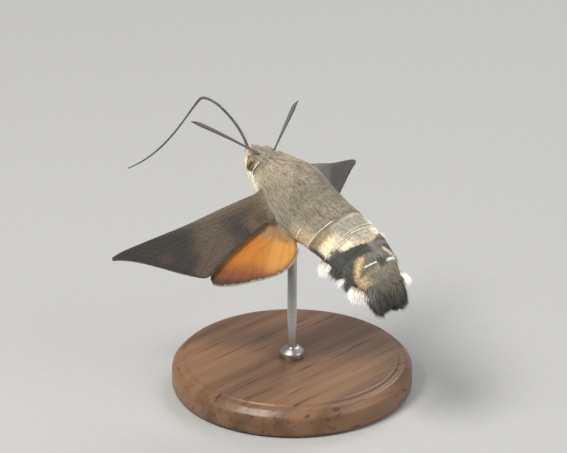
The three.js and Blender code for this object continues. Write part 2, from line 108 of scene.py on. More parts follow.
# Where the coat's lie changes: x of the neck, degrees of the cheek and of the underside, and mm
# behind the thorax's middle of the last ring and of its rear edge.
FACE_X = (4.6, 5.6)
CHEEK_OFF = (88, 104)
UNDERSIDE_OFF = (86, 114)
LAST_RING = (15.4, 16.6)
LAST_RING_END = (17.6, 19.6)
# A tuft is a spike with three corners. Its ridge and the edges of its base stand above and below
# its middle by these shares of its half width. Each kind has stations along it and its width there.
TUFT_CORNERS = 3
RIDGE = 0.5
KEEL = 0.1
SHORT_TUFT = ([0.0, 0.45], [0.75, 1.0])
LONG_TUFT = ([0.0, 0.3, 0.68], [0.6, 1.0, 0.8])
# Each tuft's patch of the bake: its size, and the bare margin round all patches.
PATCH_SIZE = 0.003
PATCH_MARGIN = 0.004
# Locks of the coat: length and width of the cells that share one tip.
LOCK_LENGTH = 1.1
LOCK_WIDTH = 0.3
# The markings' middle lies this far to the right of the body's.
MIDDLE_SHIFT = 10
SKIN_FRONT_ROWS = 70
SKIN_REAR_ROWS = 210
SKIN_ROWS_MEET_X = 3.5
SKIN_SIDES = 120
TAIL_ROUNDING = 0.25
# Eye socket of the skin: its depth, where its wall runs over the eye's radius, and its lid.
SOCKET_DEPTH = 0.5
SOCKET_RIM = (0.75, 1.12)
LID_HEIGHT = 0.12
LID_WIDTH = 0.14

# Thin rows of scales: x at both ends, the degrees off the top of the back between which each runs
# on the left and on the right, its length, how far it stands out, and its colour.
SCALE_ROWS = {
    "eye": ((4.55, 4.62), (34, 76), (34, 76), 0.2, 0.03, "cream"),
    "behind_eye": ((4.36, 4.26), (36, 80), (36, 80), 0.24, 0.06, "dark"),
    "first_ring": ((-6.3, -6.25), (58, 102), (78, 118), 0.2, 0.03, "cream"),
    "second_ring": ((-8.66, -8.15), (8, 104), (62, 118), 0.2, 0.03, "cream"),
    "third_ring": ((-11.66, -11.15), (-40, 94), (70, 112), 0.2, 0.03, "cream"),
    "third_ring_front": ((-11.1, -11.1), (-22, 44), (70, 100), 0.14, 0.03, "cream"),
    "white_dash": ((-16.38, -15.92), (0, 37), (84, 100), 0.24, 0.03, "white"),
    "right_dash": ((-16.75, -16.7), (96, 106), (19, 64), 0.44, 0.03, "white"),
}
ROW_STEP = 0.035
ROW_FADE = 10
ROW_SEED = 90

# Head pieces.
EYE_RADIUS = 1.1
EYE_FLATTENING = 0.86
EYE_CENTRE = np.array([5.75, 1.18, 0.2])
EYE_RINGS = 50
EYE_SIDES = 96
PALP_CENTRE = np.array([7.3, 0.52, -0.42])
PALP_SIZE = np.array([1.18, 0.42, 0.7])
PALP_TILT = math.radians(36)
PALP_COAT = 0.1
PALP_SIDES = 40
PALP_SCALES = 1300
# Hair of the brow: its number, and the x and degrees off the top between which its roots stand.
BROW_COUNT = 420
BROW_X = (7.1, 7.7)
BROW_OFF = (-42, 62)
# Lashes: their number, the spokes between which they stand in degrees up from straight ahead, and
# where their roots and tips are over the eye's radius.
LASH_COUNT = 900
LASH_SPOKES = (-165, 25)
LASH_ROOTS = (1.02, 1.3)
LASH_TIPS = (0.4, 0.95)
# Antennae: base, tip and how far the middle of each is bowed up.
ANTENNAE = {
    LEFT: (np.array([5.95, 0.85, 1.95]), np.array([13.2, 6.1, 4.8]), 0.5),
    RIGHT: (np.array([5.2, -1.55, 1.75]), np.array([9.2, -8.6, 2.2]), 0.1),
}
ANTENNA_RADIUS = [(0.0, 0.15), (0.03, 0.19), (0.08, 0.13), (0.3, 0.16), (0.6, 0.23), (0.82, 0.27),
                  (0.93, 0.2), (0.97, 0.09), (1.0, 0.03)]
ANTENNA_JOINTS = 62
ANTENNA_RIPPLE = 0.05
ANTENNA_ROWS, ANTENNA_SIDES = 300, 14
ANTENNA_GROOVE = 0.12
ANTENNA_SUNK = 0.5
ANTENNA_HOOK = (-0.1, 0.16, 0.1)
MOUTH = np.array([7.3, 0.0, -1.75])
ELBOW = np.array([16.7, -0.1, 1.6])
ELBOW_STEP = np.array([0.5, 0.35, -0.3])
ELBOW_BULGE = np.array([0.75, 0.2, 0.9])
TONGUE_RISE = np.array([[9.2, -0.8, -0.9], [11.0, -1.1, 1.2]])
TONGUE_FALL = np.array([[17.9, 2.0, -1.4], [17.9, 3.7, -8.7]])
TONGUE_TIP = np.array([21.0, 7.7, -12.7])
TONGUE_RADIUS = [(0.0, 0.24), (0.1, 0.22), (0.4, 0.18), (0.5, 0.13), (0.8, 0.12), (1.0, 0.07)]
TONGUE_RINGS = 120
TONGUE_RIPPLE = 0.03
TONGUE_ROWS, TONGUE_SIDES = 420, 12
TONGUE_GROOVE = 0.3
# Steps of the tongue's rise, elbow and fall, and how many points of the first and of the last the
# rounded elbow stands in for.
TONGUE_STEPS = (60, 24, 90)
ELBOW_REACH = (8, 5)

# Wings, drawn flat: span runs out from the root along the leading edge, depth back from it.
WING_ROOT = np.array([1.5, 3.6, 1.15])
WING_POSE = {
    LEFT: {"sweep": 28.2, "depression": 49, "twist": (11.4, 11.4), "tuck": 0},
    RIGHT: {"sweep": 10.9, "depression": 44.8, "twist": (10, 58), "tuck": 17},
}
TWISTED_SPAN = 12
TIP_DROOP = 0.0014
WING_ARCH = 0.28
ARCH_DEPTH = 9
WING_ROWS, WING_COLUMNS = 170, 64
FOREWING_LEAD = [(-1.2, 0.1), (6, 0.15), (12, 0.35), (18, 0.3), (22.2, 0.3), (24, 0.5)]
FOREWING_TRAIL = [(-1.2, 3.5), (1.5, 4.1), (4.9, 5.0), (9.1, 6.4), (10.9, 7.2), (12.0, 7.4),
                  (13.1, 6.95), (15.8, 5.25), (17.9, 3.8), (20.5, 2.2), (22.6, 1.2), (24, 0.75)]
HINDWING_PIVOT = (-1.2, 4.5)
HINDWING_LEAD = [(-1.5, 3.6), (2, 3.8), (6, 4.8), (9, 5.8), (11, 7.0), (11.9, 7.8)]
HINDWING_TRAIL = [(-1.5, 7.6), (-1.1, 8.7), (-0.5, 9.4), (0.7, 10.1), (2.4, 10.5), (4.6, 10.4),
                  (6.7, 10.1), (8.8, 9.75), (10.6, 9.25), (11.4, 8.9), (11.9, 8.5)]
HINDWING_DROP = 0.62
# Veins of the flat wing: start, end and how far the middle bows back, all in span and depth.
FOREWING_VEINS = [
    ((-1.0, 0.5), (22.6, 0.75), -0.05),
    ((-1.0, 0.8), (17.5, 0.62), 0.25),
    ((-1.0, 1.2), (11.2, 1.5), 0.25),
    ((-1.0, 1.9), (10.6, 3.1), 0.45),
    ((11.2, 1.5), (23.2, 0.7), 0.1),
    ((11.2, 1.5), (22.0, 1.4), 0.15),
    ((11.0, 2.0), (20.3, 2.25), 0.15),
    ((10.9, 2.5), (18.6, 3.3), 0.1),
    ((10.6, 3.1), (17.0, 4.4), 0.1),
    ((9.2, 2.9), (15.0, 5.75), 0.1),
    ((7.2, 2.6), (12.9, 7.0), 0.15),
    ((-1.0, 2.9), (12.2, 6.6), 0.35),
]
HINDWING_VEINS = [
    ((-1.2, 4.0), (11.4, 8.1), -0.35),
    ((-1.2, 4.6), (5.2, 6.1), 0.1),
    ((5.2, 6.1), (11.6, 8.5), -0.05),
    ((5.2, 6.1), (10.4, 9.2), 0.05),
    ((-1.2, 5.1), (4.4, 7.0), 0.2),
    ((4.4, 7.0), (8.9, 9.7), 0.05),
    ((4.4, 7.0), (7.0, 10.1), 0.05),
    ((3.2, 6.7), (5.2, 10.4), 0.05),
    ((-1.0, 5.6), (3.2, 10.6), 0.35),
    ((-1.1, 6.2), (1.2, 10.4), 0.3),
]
VEIN_WIDTH = 0.13
VEIN_HEIGHT = 0.035
# Fringes: first span, reach, number and seed. Hair on the wings: spans, depths, number and seed.
WING_FRINGES = {"forewing": (1.5, 0.25, 1100, 81), "hindwing": (-1.2, 0.24, 900, 82)}
WING_HAIR = {
    "forewing": ((-0.9, 3.6), (0.2, 4.6), 3400, 83),
    "hindwing": ((-1.3, 1.4), (3.8, 6.6), 2000, 84),
}
FRINGE_ROOT = 0.14
# Span and depth of one patch of bake to lay out the wing's tufts on.
WING_SHEET = (26, 12)
WING_SHEET_START = 0.06
# Hair over the wing roots: its number, the x of the line where wing and body meet, the degrees off
# the top of the back there, and how many degrees the band of its roots is wide.
ROOT_HAIR_COUNT = 1000
ROOT_HAIR_X = (1.6, -1.9)
ROOT_HAIR_LINE = (72, 98)
ROOT_HAIR_BAND = 16
ROOT_HAIR_START = -1.2

# Legs folded against the underside: x and degrees below the side of the body.
LEG_PATHS = {
    "fore": [(2.4, 66), (4.0, 60), (5.6, 66), (7.0, 78)],
    "mid": [(0.6, 60), (-1.6, 53), (-4.2, 53), (-6.6, 58)],
    "hind": [(-1.4, 70), (-5.0, 71), (-9.0, 72), (-13.4, 75)],
}
# How far a leg stands off the coat, how much deeper its root is, and where along it has risen.
LEG_STAND_OFF = 0.5
LEG_SUNK = 0.75
LEG_RISE = 0.16
LEG_RADIUS = [(0.0, 0.24), (0.2, 0.25), (0.34, 0.16), (0.4, 0.2), (0.62, 0.14), (0.66, 0.11),
              (0.96, 0.08), (1.0, 0.03)]
LEG_ROWS, LEG_SIDES = 160, 14
LEG_SCALES = 420
# Where the foot begins along a leg, and how many joints as long as the foot's a whole leg has.
FOOT_START = (0.62, 0.66)
FOOT_JOINTS = 14.3
KNUCKLE_SWELL = 0.16
# Rows of the path between which the shin's direction is taken.
SHIN_ROWS = (95, 110)
CLAW_RADII = (0.035, 0.008)
SPUR_RADII = (0.055, 0.01)
HOOK_ROWS, HOOK_SIDES = 10, 8

# Fans of long scales along each flank. For each: the middle of its roots and of its tips, how both
# spread along the fan, half its thickness, its scales and its colour. The right side mirrors the
# left about the middle of the bent abdomen, apart from two fans.
FAN_MIRROR_Y = -0.35
FLANK_FANS = {
    "first": ((-10.9, 3.35, -0.1), (-12.1, 4.75, -0.95), (-0.6, -0.15, 0.2), (-0.45, -0.35, 0.15),
              0.16, 620, "white"),
    "second": ((-12.6, 3.0, -0.2), (-13.3, 3.95, -0.75), (-1.0, -0.1, 0.0), (-1.0, -0.1, 0.0),
               0.4, 520, "black"),
    "third": ((-14.25, 3.05, -0.45), (-14.6, 4.25, -1.0), (-0.14, -0.1, 0.0), (-0.14, -0.1, 0.0),
              0.1, 170, "white"),
    "fourth": ((-15.1, 2.6, -0.3), (-15.8, 3.85, -0.95), (-0.6, -0.2, 0.0), (-0.6, -0.25, 0.0),
               0.4, 420, "black"),
    "fifth": ((-16.75, 2.45, -0.3), (-17.95, 3.6, -1.0), (-1.1, -0.7, 0.0), (-1.05, -1.0, 0.0),
              0.16, 1300, "white"),
}
RIGHT_FANS = {
    "third": ((-14.2, -3.6, -1.0), (-14.7, -4.45, -1.7), (-0.3, 0.1, 0.0), (-0.3, 0.2, 0.0),
              0.14, 300, "white"),
    "fifth": ((-17.9, -2.75, 1.0), (-20.2, -2.3, 1.05), (-0.1, -0.25, 0.0), (-0.43, -0.3, 0.0),
              0.16, 620, "white"),
}
FAN_SLOTS = {"white": "pale_coat", "black": "dark_brush"}
FAN_SEEDS = {"left": 60, "right": 70}

# Tail brush.
BRUSH_ROOT_X = (-19.0, -17.1)
BRUSH_END_X = -22.05
BRUSH_END_Y = 1.05
BRUSH_HALF_WIDTH = 2.8
BRUSH_HALF_DEPTH = 0.8
BRUSH_SCALES = 5200

# Camera: azimuth and elevation of its direction from the moth, its distance and its scale.
CAMERA_AZIMUTH = math.radians(134.15)
CAMERA_ELEVATION = math.radians(25)
CAMERA_DISTANCE = 600
VIEW_WIDTH = 71.77
AIM_RIGHT = -0.823
AIM_UP = -4.62
SENSOR_WIDTH = 36
# Nearest and furthest distance that the camera sees, in metres.
CAMERA_CLIP = (0.01, 20.0)
# Lights: their direction as shares of the camera's back, its right and upright, then distance and
# size in mm, power and colour.
LIGHTS = {
    "key": ((0.75, -0.75, 1.1), 420, 170, 1.65, (1.0, 0.97, 0.92)),
    "fill": ((0.5, 1.0, 0.5), 450, 260, 0.5, (0.94, 0.97, 1.0)),
    "rim": ((-0.9, 0.4, 1.2), 450, 220, 0.62, (1.0, 1.0, 1.0)),
}
SKY_COLOUR = (0.95, 0.97, 1.0, 1.0)
SKY_STRENGTH = 0.28
# The floor, in metres.
FLOOR_RADIUS = 4.0
FLOOR_DROP = 0.00005
FLOOR_SIDES = 96


# Plain numbers.

def smoothstep(value, low, high):
    """0 before low, 1 after high, and the cubic 3t^2 - 2t^3 between them."""
    t = np.clip((value - low) / (high - low), 0, 1)
    return t * t * (3 - 2 * t)


def hill(value, centre, half):
    """A bell of height 1: e to the minus square of the distance from the centre over half."""
    return np.exp(-((value - centre) / half) ** 2)


def blend(first, second, share):
    return first + (second - first) * share


def smooth_through(stations):
    """A cubic Hermite curve through the stations, with slopes from the neighbours' difference."""
    x, y = np.array(sorted(stations), dtype=float).T
    before = np.maximum(np.arange(len(x)) - 1, 0)
    after = np.minimum(np.arange(len(x)) + 1, len(x) - 1)
    slope = (y[after] - y[before]) / (x[after] - x[before])

    def curve(at):
        at = np.clip(at, x[0], x[-1])
        i = np.clip(np.searchsorted(x, at) - 1, 0, len(x) - 2)
        width = x[i + 1] - x[i]
        t = (at - x[i]) / width
        return (y[i] * (2 * t**3 - 3 * t**2 + 1) + slope[i] * width * (t**3 - 2 * t**2 + t)
                + y[i + 1] * (3 * t**2 - 2 * t**3) + slope[i + 1] * width * (t**3 - t**2))

    return curve


def straight_through(stations):
    x, y = np.array(sorted(stations), dtype=float).T
    return lambda at: np.interp(at, x, y)


def unit(vectors):
    return vectors / np.maximum(np.linalg.norm(vectors, axis=-1, keepdims=True), 1e-9)


def stacked(*parts):
    """Numbers side by side in a new last axis, with single ones repeated to fit."""
    return np.stack(np.broadcast_arrays(*parts), axis=-1)


def full_turn(count):
    return np.linspace(0, 2 * math.pi, count, endpoint=False)


def even_places(count, seed):
    """Even but irregular places in the unit square: steps of the plane's golden ratios, jittered."""
    steps = np.arange(count)[:, None] * np.array([0.7548776662, 0.5698402910])
    jitter = np.random.default_rng(seed).uniform(-0.4, 0.4, (count, 2)) / math.sqrt(count)
    return ((0.5 + steps + jitter) % 1).T


def draws(seed, count, kinds=3):
    """A chance in 0..1 for each tuft, and some normal numbers. The seed may be a generator."""
    rng = np.random.default_rng(seed)
    return rng.uniform(0, 1, count), rng.normal(0, 1, (kinds, count))


def scatter(first, second):
    """A repeatable number in 0..1 for each pair of whole numbers: the fraction of a large sine."""
    return np.abs(np.sin(first * 127.1 + second * 311.7) * 43758.5453) % 1


def turn(axis, angle):
    """The matrix that turns by an angle about the x, y or z axis."""
    c, s = math.cos(angle), math.sin(angle)
    rows = {
        "x": [[1, 0, 0], [0, c, -s], [0, s, c]],
        "y": [[c, 0, s], [0, 1, 0], [-s, 0, c]],
        "z": [[c, -s, 0], [s, c, 0], [0, 0, 1]],
    }
    return np.array(rows[axis])


ATTITUDE = turn("z", -math.pi / 2) @ turn("y", -PITCH) @ turn("x", -BANK)
OVER_ROD = ATTITUDE @ ROD_MEETS
MOTH_PLACE = np.array([-OVER_ROD[0], -OVER_ROD[1], THORAX_HEIGHT])


def placed(points):
    """From the moth's frame in mm to the model's frame in metres."""
    return (points @ ATTITUDE.T + MOTH_PLACE) * MM


def mirrored(point, side):
    return np.asarray(point, dtype=float) * np.array([1, side, 1])


# The body's surface.

body_half, body_above, body_below, spine_left, spine_up = (
    smooth_through([(row[0], row[column]) for row in BODY_OUTLINE]) for column in range(1, 6)
)
coat_depth = smooth_through(COAT_DEPTH)
tuft_length = straight_through(TUFT_LENGTH)
tuft_width = straight_through(TUFT_WIDTH)


def body_point(x, off, lift):
    """A half ellipse above the spine and another below it, both grown by the lift."""
    height = np.where(np.cos(off) >= 0, body_above(x), body_below(x)) + lift
    left = spine_left(x) + (body_half(x) + lift) * np.sin(off)
    return stacked(x, left, spine_up(x) + height * np.cos(off))


def body_outward(x, off):
    return unit(body_point(x, off, 1.0) - body_point(x, off, 0.0))


def body_girth(x):
    return (body_half(x) + (body_above(x) + body_below(x)) / 2) / 2


def body_marks(x, degrees):
    """Marking coordinates of the coat: x, degrees off the top of the back, and an idle third."""
    return stacked(x, degrees, 0.0)


def ring_step(x):
    """A saw along the abdomen: each ring rises to its rear edge and the next starts lower."""
    knots = []
    for edge in RING_EDGES:
        knots += [(edge + 0.02, RING_STEP * 0.55), (edge - 0.16, -RING_STEP * 0.45)]
    knots += [(RING_EDGES[0] + 1.5, 0.0), (TAIL_X, 0.0)]
    return straight_through(knots)(x)


def relief(x, off):
    """Rise of the body's folds, in mm: a bell over x for each, times one over the degrees off."""
    degrees = np.abs(np.degrees(off))
    folds = sum(height * hill(x, *along) * (1 if around is None else hill(degrees, *around))
                for height, along, around in COAT_FOLDS)
    upper = 1 - smoothstep(degrees, 80, 125)
    return folds * upper + ring_step(x) * (1 - 0.5 * smoothstep(degrees, 100, 150))


def eye_distance(points):
    """Distance from the nearer eye's centre, over the eye's own radius in each direction, in mm."""
    away = points - EYE_CENTRE
    away[..., 1] = (np.abs(points[..., 1]) - EYE_CENTRE[1]) / EYE_FLATTENING
    return np.linalg.norm(away, axis=-1)


# Meshes.

def mesh_piece(name, points, faces, finish, slot, replaced=(), marks=None, patch=None, smooth=True):
    """One object from points in metres and face arrays, one array for each number of corners."""
    mesh = bpy.data.meshes.new(name)
    corners = np.concatenate([part.ravel() for part in faces]).astype(np.int32)
    sizes = np.concatenate([np.full(len(part), part.shape[1]) for part in faces])
    starts = np.concatenate([[0], np.cumsum(sizes)[:-1]]).astype(np.int32)
    mesh.vertices.add(len(points))
    mesh.vertices.foreach_set("co", np.ascontiguousarray(points, dtype=np.float32).ravel())
    mesh.loops.add(len(corners))
    mesh.loops.foreach_set("vertex_index", corners)
    mesh.polygons.add(len(starts))
    mesh.polygons.foreach_set("loop_start", starts)
    mesh.update(calc_edges=True)
    if smooth:
        mesh.shade_smooth()
    else:
        mesh.shade_flat()
    for mark, values in (marks or {}).items():
        attribute = mesh.attributes.new(mark, "FLOAT_VECTOR", "POINT")
        attribute.data.foreach_set("vector", np.ascontiguousarray(values, dtype=np.float32).ravel())
    if patch is not None:
        layer = mesh.uv_layers.new(name="OFBake")
        layer.data.foreach_set("uv", np.ascontiguousarray(patch[corners], dtype=np.float32).ravel())
    mesh.materials.append(finish.material)
    piece = bpy.data.objects.new(name, mesh)
    bpy.context.collection.objects.link(piece)
    if slot is None:
        return
    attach(piece, "root")
    if replaced:
        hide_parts(*replaced)


def facing_out(points, faces):
    """Turns all faces round where the closed shell has a negative volume."""
    volume = 0.0
    for part in faces:
        for second in range(1, part.shape[1] - 1):
            a, b, c = (points[part[:, k]] for k in (0, second, second + 1))
            volume += np.einsum("ij,ij->", a, np.cross(b, c))
    return faces if volume > 0 else [part[:, ::-1] for part in faces]


def closed_tube(rings, start_pole, end_pole):
    """Quads between rings of points that follow each other, closed by a fan at each end."""
    count, sides = rings.shape[:2]
    points = ring_marks(rings, start_pole, end_pole)
    ring = np.arange(count - 1)[:, None] * sides
    here = np.arange(sides)[None, :]
    after = (here + 1) % sides
    quads = stacked(ring + here, ring + after, ring + sides + after, ring + sides + here)
    here, after = here[0], after[0]
    last = (count - 1) * sides
    start_fan = stacked(count * sides, after, here)
    end_fan = stacked(count * sides + 1, last + here, last + after)
    return points, facing_out(points, [quads.reshape(-1, 4), start_fan, end_fan])


def ring_marks(values, start, end):
    """Values for a closed tube: those of its rings, then those of its two poles."""
    return np.concatenate([values.reshape(-1, 3), [start, end]])


def tube_piece(name, rings, poles, marks, finish, slot, replaced):
    """A closed tube of the moth as an object of its own."""
    points, faces = closed_tube(rings, *poles)
    mesh_piece(name, placed(points), faces, finish, slot, replaced, marks)


def tube_marks(count, sides, joints):
    """Marks of a tube: how far along, the place within its joint, and 1 on top to 0 below."""
    along = np.linspace(0, 1, count)[:, None] + np.zeros(sides)
    height = (np.sin(full_turn(sides)) + 1) / 2
    return ring_marks(stacked(along, (along * joints) % 1, height), (0.0, 0.0, 0.5), (1.0, 0.0, 0.5))


def along_path(path, radius, sides, up, groove=0.0):
    """Circles carried along a path, square to it; a groove narrows them at their top and bottom."""
    forward = unit(np.gradient(path, axis=0))
    across = unit(np.cross(forward, up))
    above = np.cross(across, forward)
    angle = full_turn(sides)
    wide = np.cos(angle)[None, :, None] * across[:, None, :]
    high = np.sin(angle)[None, :, None] * above[:, None, :]
    pinch = (1 - groove * np.sin(angle) ** 4)[None, :, None]
    return path[:, None, :] + (wide + high) * pinch * radius[:, None, None]


def bezier(controls, count):
    """Points of the Bezier curve with three or four controls, at even steps of its parameter."""
    t = np.linspace(0, 1, count)[:, None]
    controls = [np.asarray(control) for control in controls]
    while len(controls) > 1:
        controls = [blend(a, b, t) for a, b in zip(controls[:-1], controls[1:])]
    return controls[0]


def turned_piece(name, profile, sides, finish, slot, replaced):
    """A profile of radius and height turned about the stand's axis."""
    radius, height = np.array(profile).T
    angle = full_turn(sides)
    rings = stacked(radius[:, None] * np.cos(angle), radius[:, None] * np.sin(angle), height[:, None])
    points, faces = closed_tube(rings, UPRIGHT * height[0], UPRIGHT * height[-1])
    mesh_piece(name, points * MM, faces, finish, slot, replaced)


# Tufts.

def tuft_faces(rings):
    """Triangles of one three-sided spike: its root, its sides between rings, and its point."""
    faces = [(0, 1, 2)]
    for ring in range(rings - 1):
        for corner in range(TUFT_CORNERS):
            here = ring * TUFT_CORNERS + corner
            beside = ring * TUFT_CORNERS + (corner + 1) % TUFT_CORNERS
            faces += [(here, here + TUFT_CORNERS, beside + TUFT_CORNERS),
                      (here, beside + TUFT_CORNERS, beside)]
    last = (rings - 1) * TUFT_CORNERS
    point = rings * TUFT_CORNERS
    faces += [(last + corner, point, last + (corner + 1) % TUFT_CORNERS)
              for corner in range(TUFT_CORNERS)]
    return np.array(faces)


def tufts(name, curve, outward, width, unwrap, chance, finish, slot,
          places=None, keep=slice(None), shape=SHORT_TUFT, replaced=()):
    """Spikes that follow the quadratic Bezier curve root, bend, tip, with a flat side below.

    `unwrap` gives each tuft's place in the unit square of the bake, and `places` the marking
    coordinates at each root and at each tip, for a finish that uses them.
    """
    root, bend, tip, outward, width, chance = (part[keep] for part in (*curve, outward, width, chance))
    unwrap = stacked(*unwrap)[keep]
    count = len(root)
    stations, profile = shape
    rings = len(stations)
    t = np.array(stations)[None, :, None]
    middle = (1 - t) ** 2 * root[:, None] + 2 * t * (1 - t) * bend[:, None] + t**2 * tip[:, None]
    forward = unit(tip - root)
    side = unit(np.cross(forward, outward))
    above = np.cross(side, forward)
    half = (width / 2)[:, None, None] * np.array(profile)[None, :, None]
    corners = [
        middle - side[:, None] * half - above[:, None] * half * KEEL,
        middle + side[:, None] * half - above[:, None] * half * KEEL,
        middle + above[:, None] * half * RIDGE,
    ]
    body = np.stack(corners, axis=2).reshape(count, rings * TUFT_CORNERS, 3)
    points = np.concatenate([body, tip[:, None]], axis=1)
    per_tuft = points.shape[1]
    faces = (tuft_faces(rings)[None] + np.arange(count)[:, None, None] * per_tuft).reshape(-1, 3)

    along = np.append(np.repeat(stations, TUFT_CORNERS), 1.0)
    across = np.append(np.tile([0.0, 1.0, 0.5], rings), 0.5)
    marks = {"strand": stacked(along, chance[:, None], across).reshape(-1, 3)}
    if places is not None:
        at_root, at_tip = (place[keep][:, None] for place in places)
        marks["place"] = blend(at_root, at_tip, along[None, :, None]).reshape(-1, 3)
    local = stacked(along - 0.5, across - 0.5) * PATCH_SIZE
    patch = PATCH_MARGIN + unwrap[:, None] * (1 - 2 * PATCH_MARGIN) + local[None]
    mesh_piece(name, placed(points.reshape(-1, 3)), [faces], finish, slot, replaced,
               marks, patch.reshape(-1, 2), smooth=False)


def lock_centres(along, around):
    """The nearest lock to each place: one scattered centre in every cell, the cells long and narrow."""
    column, row = np.floor(along / LOCK_LENGTH), np.floor(around / LOCK_WIDTH)
    nearest = np.full(along.shape, np.inf)
    found = np.zeros((2,) + along.shape)
    for step_a in (-1, 0, 1):
        for step_b in (-1, 0, 1):
            a, b = column + step_a, row + step_b
            centre_a = (a + scatter(a, b)) * LOCK_LENGTH
            centre_b = (b + scatter(b + 17, a)) * LOCK_WIDTH
            distance = ((centre_a - along) / LOCK_LENGTH) ** 2 + ((centre_b - around) / LOCK_WIDTH) ** 2
            closer = distance < nearest
            nearest = np.where(closer, distance, nearest)
            found = np.where(closer, np.stack([centre_b, scatter(a + 5, b + 9)]), found)
    return found


def body_places(front, rear, density, seed, half):
    """Roots of even density over a length of the body: x from the summed girth, off from a spread."""
    stations = np.linspace(rear, front, 300)
    girth = body_girth(stations) * np.sqrt(1 + np.gradient(body_half(stations), stations) ** 2)
    summed = np.cumsum(girth)
    turn_share = 1.0 if half is None else 0.5
    area = summed[-1] * (stations[1] - stations[0]) * 2 * math.pi * turn_share
    first, second = even_places(int(area * density), seed)
    x = np.interp(first * summed[-1], summed, stations)
    return x, (second * 2 - 1) * math.pi if half is None else second * math.pi * half


def coat(name, front, rear, density, seed, slot, half, tidy, finish):
    """Tufts over a length of the body, in its own coordinates, so that they lie along it.

    Each tuft starts under the skin, rises to just below the coat's outline and runs tailwards.
    Its tip is drawn sideways towards its lock's middle, and stands as proud as its lock does, less
    so where the coat is tidy.
    """
    x, off = body_places(front, rear, density, seed, half)
    chance, unruly = draws(seed, x.size)
    girth = body_girth(x)
    around = off * girth
    degrees = np.abs(np.degrees(off))
    lock_around, lock_chance = lock_centres(x, around)
    size = 0.75 + 0.5 * chance
    face = smoothstep(x, *FACE_X)
    loose = (1 - face * 0.45) * (1 - tidy)

    # Which way each tuft lies, and where its tip comes.
    length = tuft_length(x) * size * (1 + 0.12 * unruly[0])
    outwards = 0.08 + 0.22 * hill(x, 1.5, 2.6)
    wild = 0.08 + 0.42 * smoothstep(-x, *LAST_RING)
    lean = outwards * np.sin(2 * off) + (lock_chance - 0.5) * 0.24 * loose + wild * unruly[1]
    lean -= face * smoothstep(degrees, *CHEEK_OFF) * 0.45 * np.sign(off)
    tip_x = x - length * np.cos(lean)
    aside = length * np.sin(lean)
    tip_off = blend(around + aside, lock_around + aside, 0.25 * loose) / girth

    # How far below and above the coat's outline it stands.
    depth = coat_depth(x)
    fold = relief(x, off)
    ruff = smoothstep(x, -5, 1) * 0.16 + hill(x, 5.4, 1.9) * 0.42
    proud = smoothstep(degrees, *UNDERSIDE_OFF) * ruff
    middle_lift = -depth * (0.2 + 0.12 * (1 - chance))
    tip_lift = (lock_chance - 0.6) * 0.14 * depth * loose + 0.06 * unruly[2] * depth + proud * chance
    tip_lift -= 0.03 + 0.35 * smoothstep(-tip_x, *LAST_RING_END)
    root_at = body_point(x, off, fold - depth * 1.15)
    bend_at = body_point(blend(x, tip_x, 0.4), blend(off, tip_off, 0.4), fold + middle_lift)
    tip_at = body_point(tip_x, tip_off, relief(tip_x, off) + tip_lift)

    # Tufts keep clear of the eye: a tip may lie a little over its rim, furthest from below.
    rim = np.where(degrees > 98, 0.6, np.where(x > EYE_CENTRE[0], 0.8, 1.04))
    clear = (eye_distance(root_at) > EYE_RADIUS + 0.02) & (eye_distance(tip_at) > EYE_RADIUS * rim)
    tufts(name, (root_at, bend_at, tip_at), body_outward(x, off), tuft_width(x) * size,
          ((front - x) / (front - rear), off / (2 * math.pi) + 0.5),
          blend(chance, lock_chance, 0.22 + 0.4 * face), finish, slot,
          (body_marks(x, np.degrees(off)), body_marks(tip_x, np.degrees(tip_off))), clear)


# Finishes.

def math_node(operation):
    """A method that puts a value and any others through one Math node."""
    def worked(value, *others):
        inputs = dict(enumerate((value, *others)))
        return value.finish.value("ShaderNodeMath", 0, {"operation": operation}, inputs)

    return worked


class Shade:
    """One value in a material. Arithmetic on it adds Math nodes, so a formula reads as written."""

    def __init__(self, finish, socket):
        self.finish = finish
        self.socket = socket

    __add__ = __radd__ = math_node("ADD")
    __mul__ = __rmul__ = math_node("MULTIPLY")
    __sub__ = math_node("SUBTRACT")
    __truediv__ = math_node("DIVIDE")
    __abs__ = math_node("ABSOLUTE")
    least = math_node("MINIMUM")
    most = math_node("MAXIMUM")

    def __neg__(self):
        return self * -1

    def __rsub__(self, other):
        return self * -1 + other

    def rise(self, low, high):
        """0 before low and 1 after high, smoothly."""
        inputs = {"Value": self, "From Min": low, "From Max": high}
        settings = {"interpolation_type": "SMOOTHSTEP"}
        return self.finish.value("ShaderNodeMapRange", "Result", settings, inputs)

    def fall(self, low, high):
        """1 before low and 0 after high, smoothly."""
        return 1 - self.rise(low, high)

    def band(self, centre, half, soft):
        """1 within half of the centre, fading over soft on each side."""
        return abs(self - centre).fall(half - soft, half + soft)


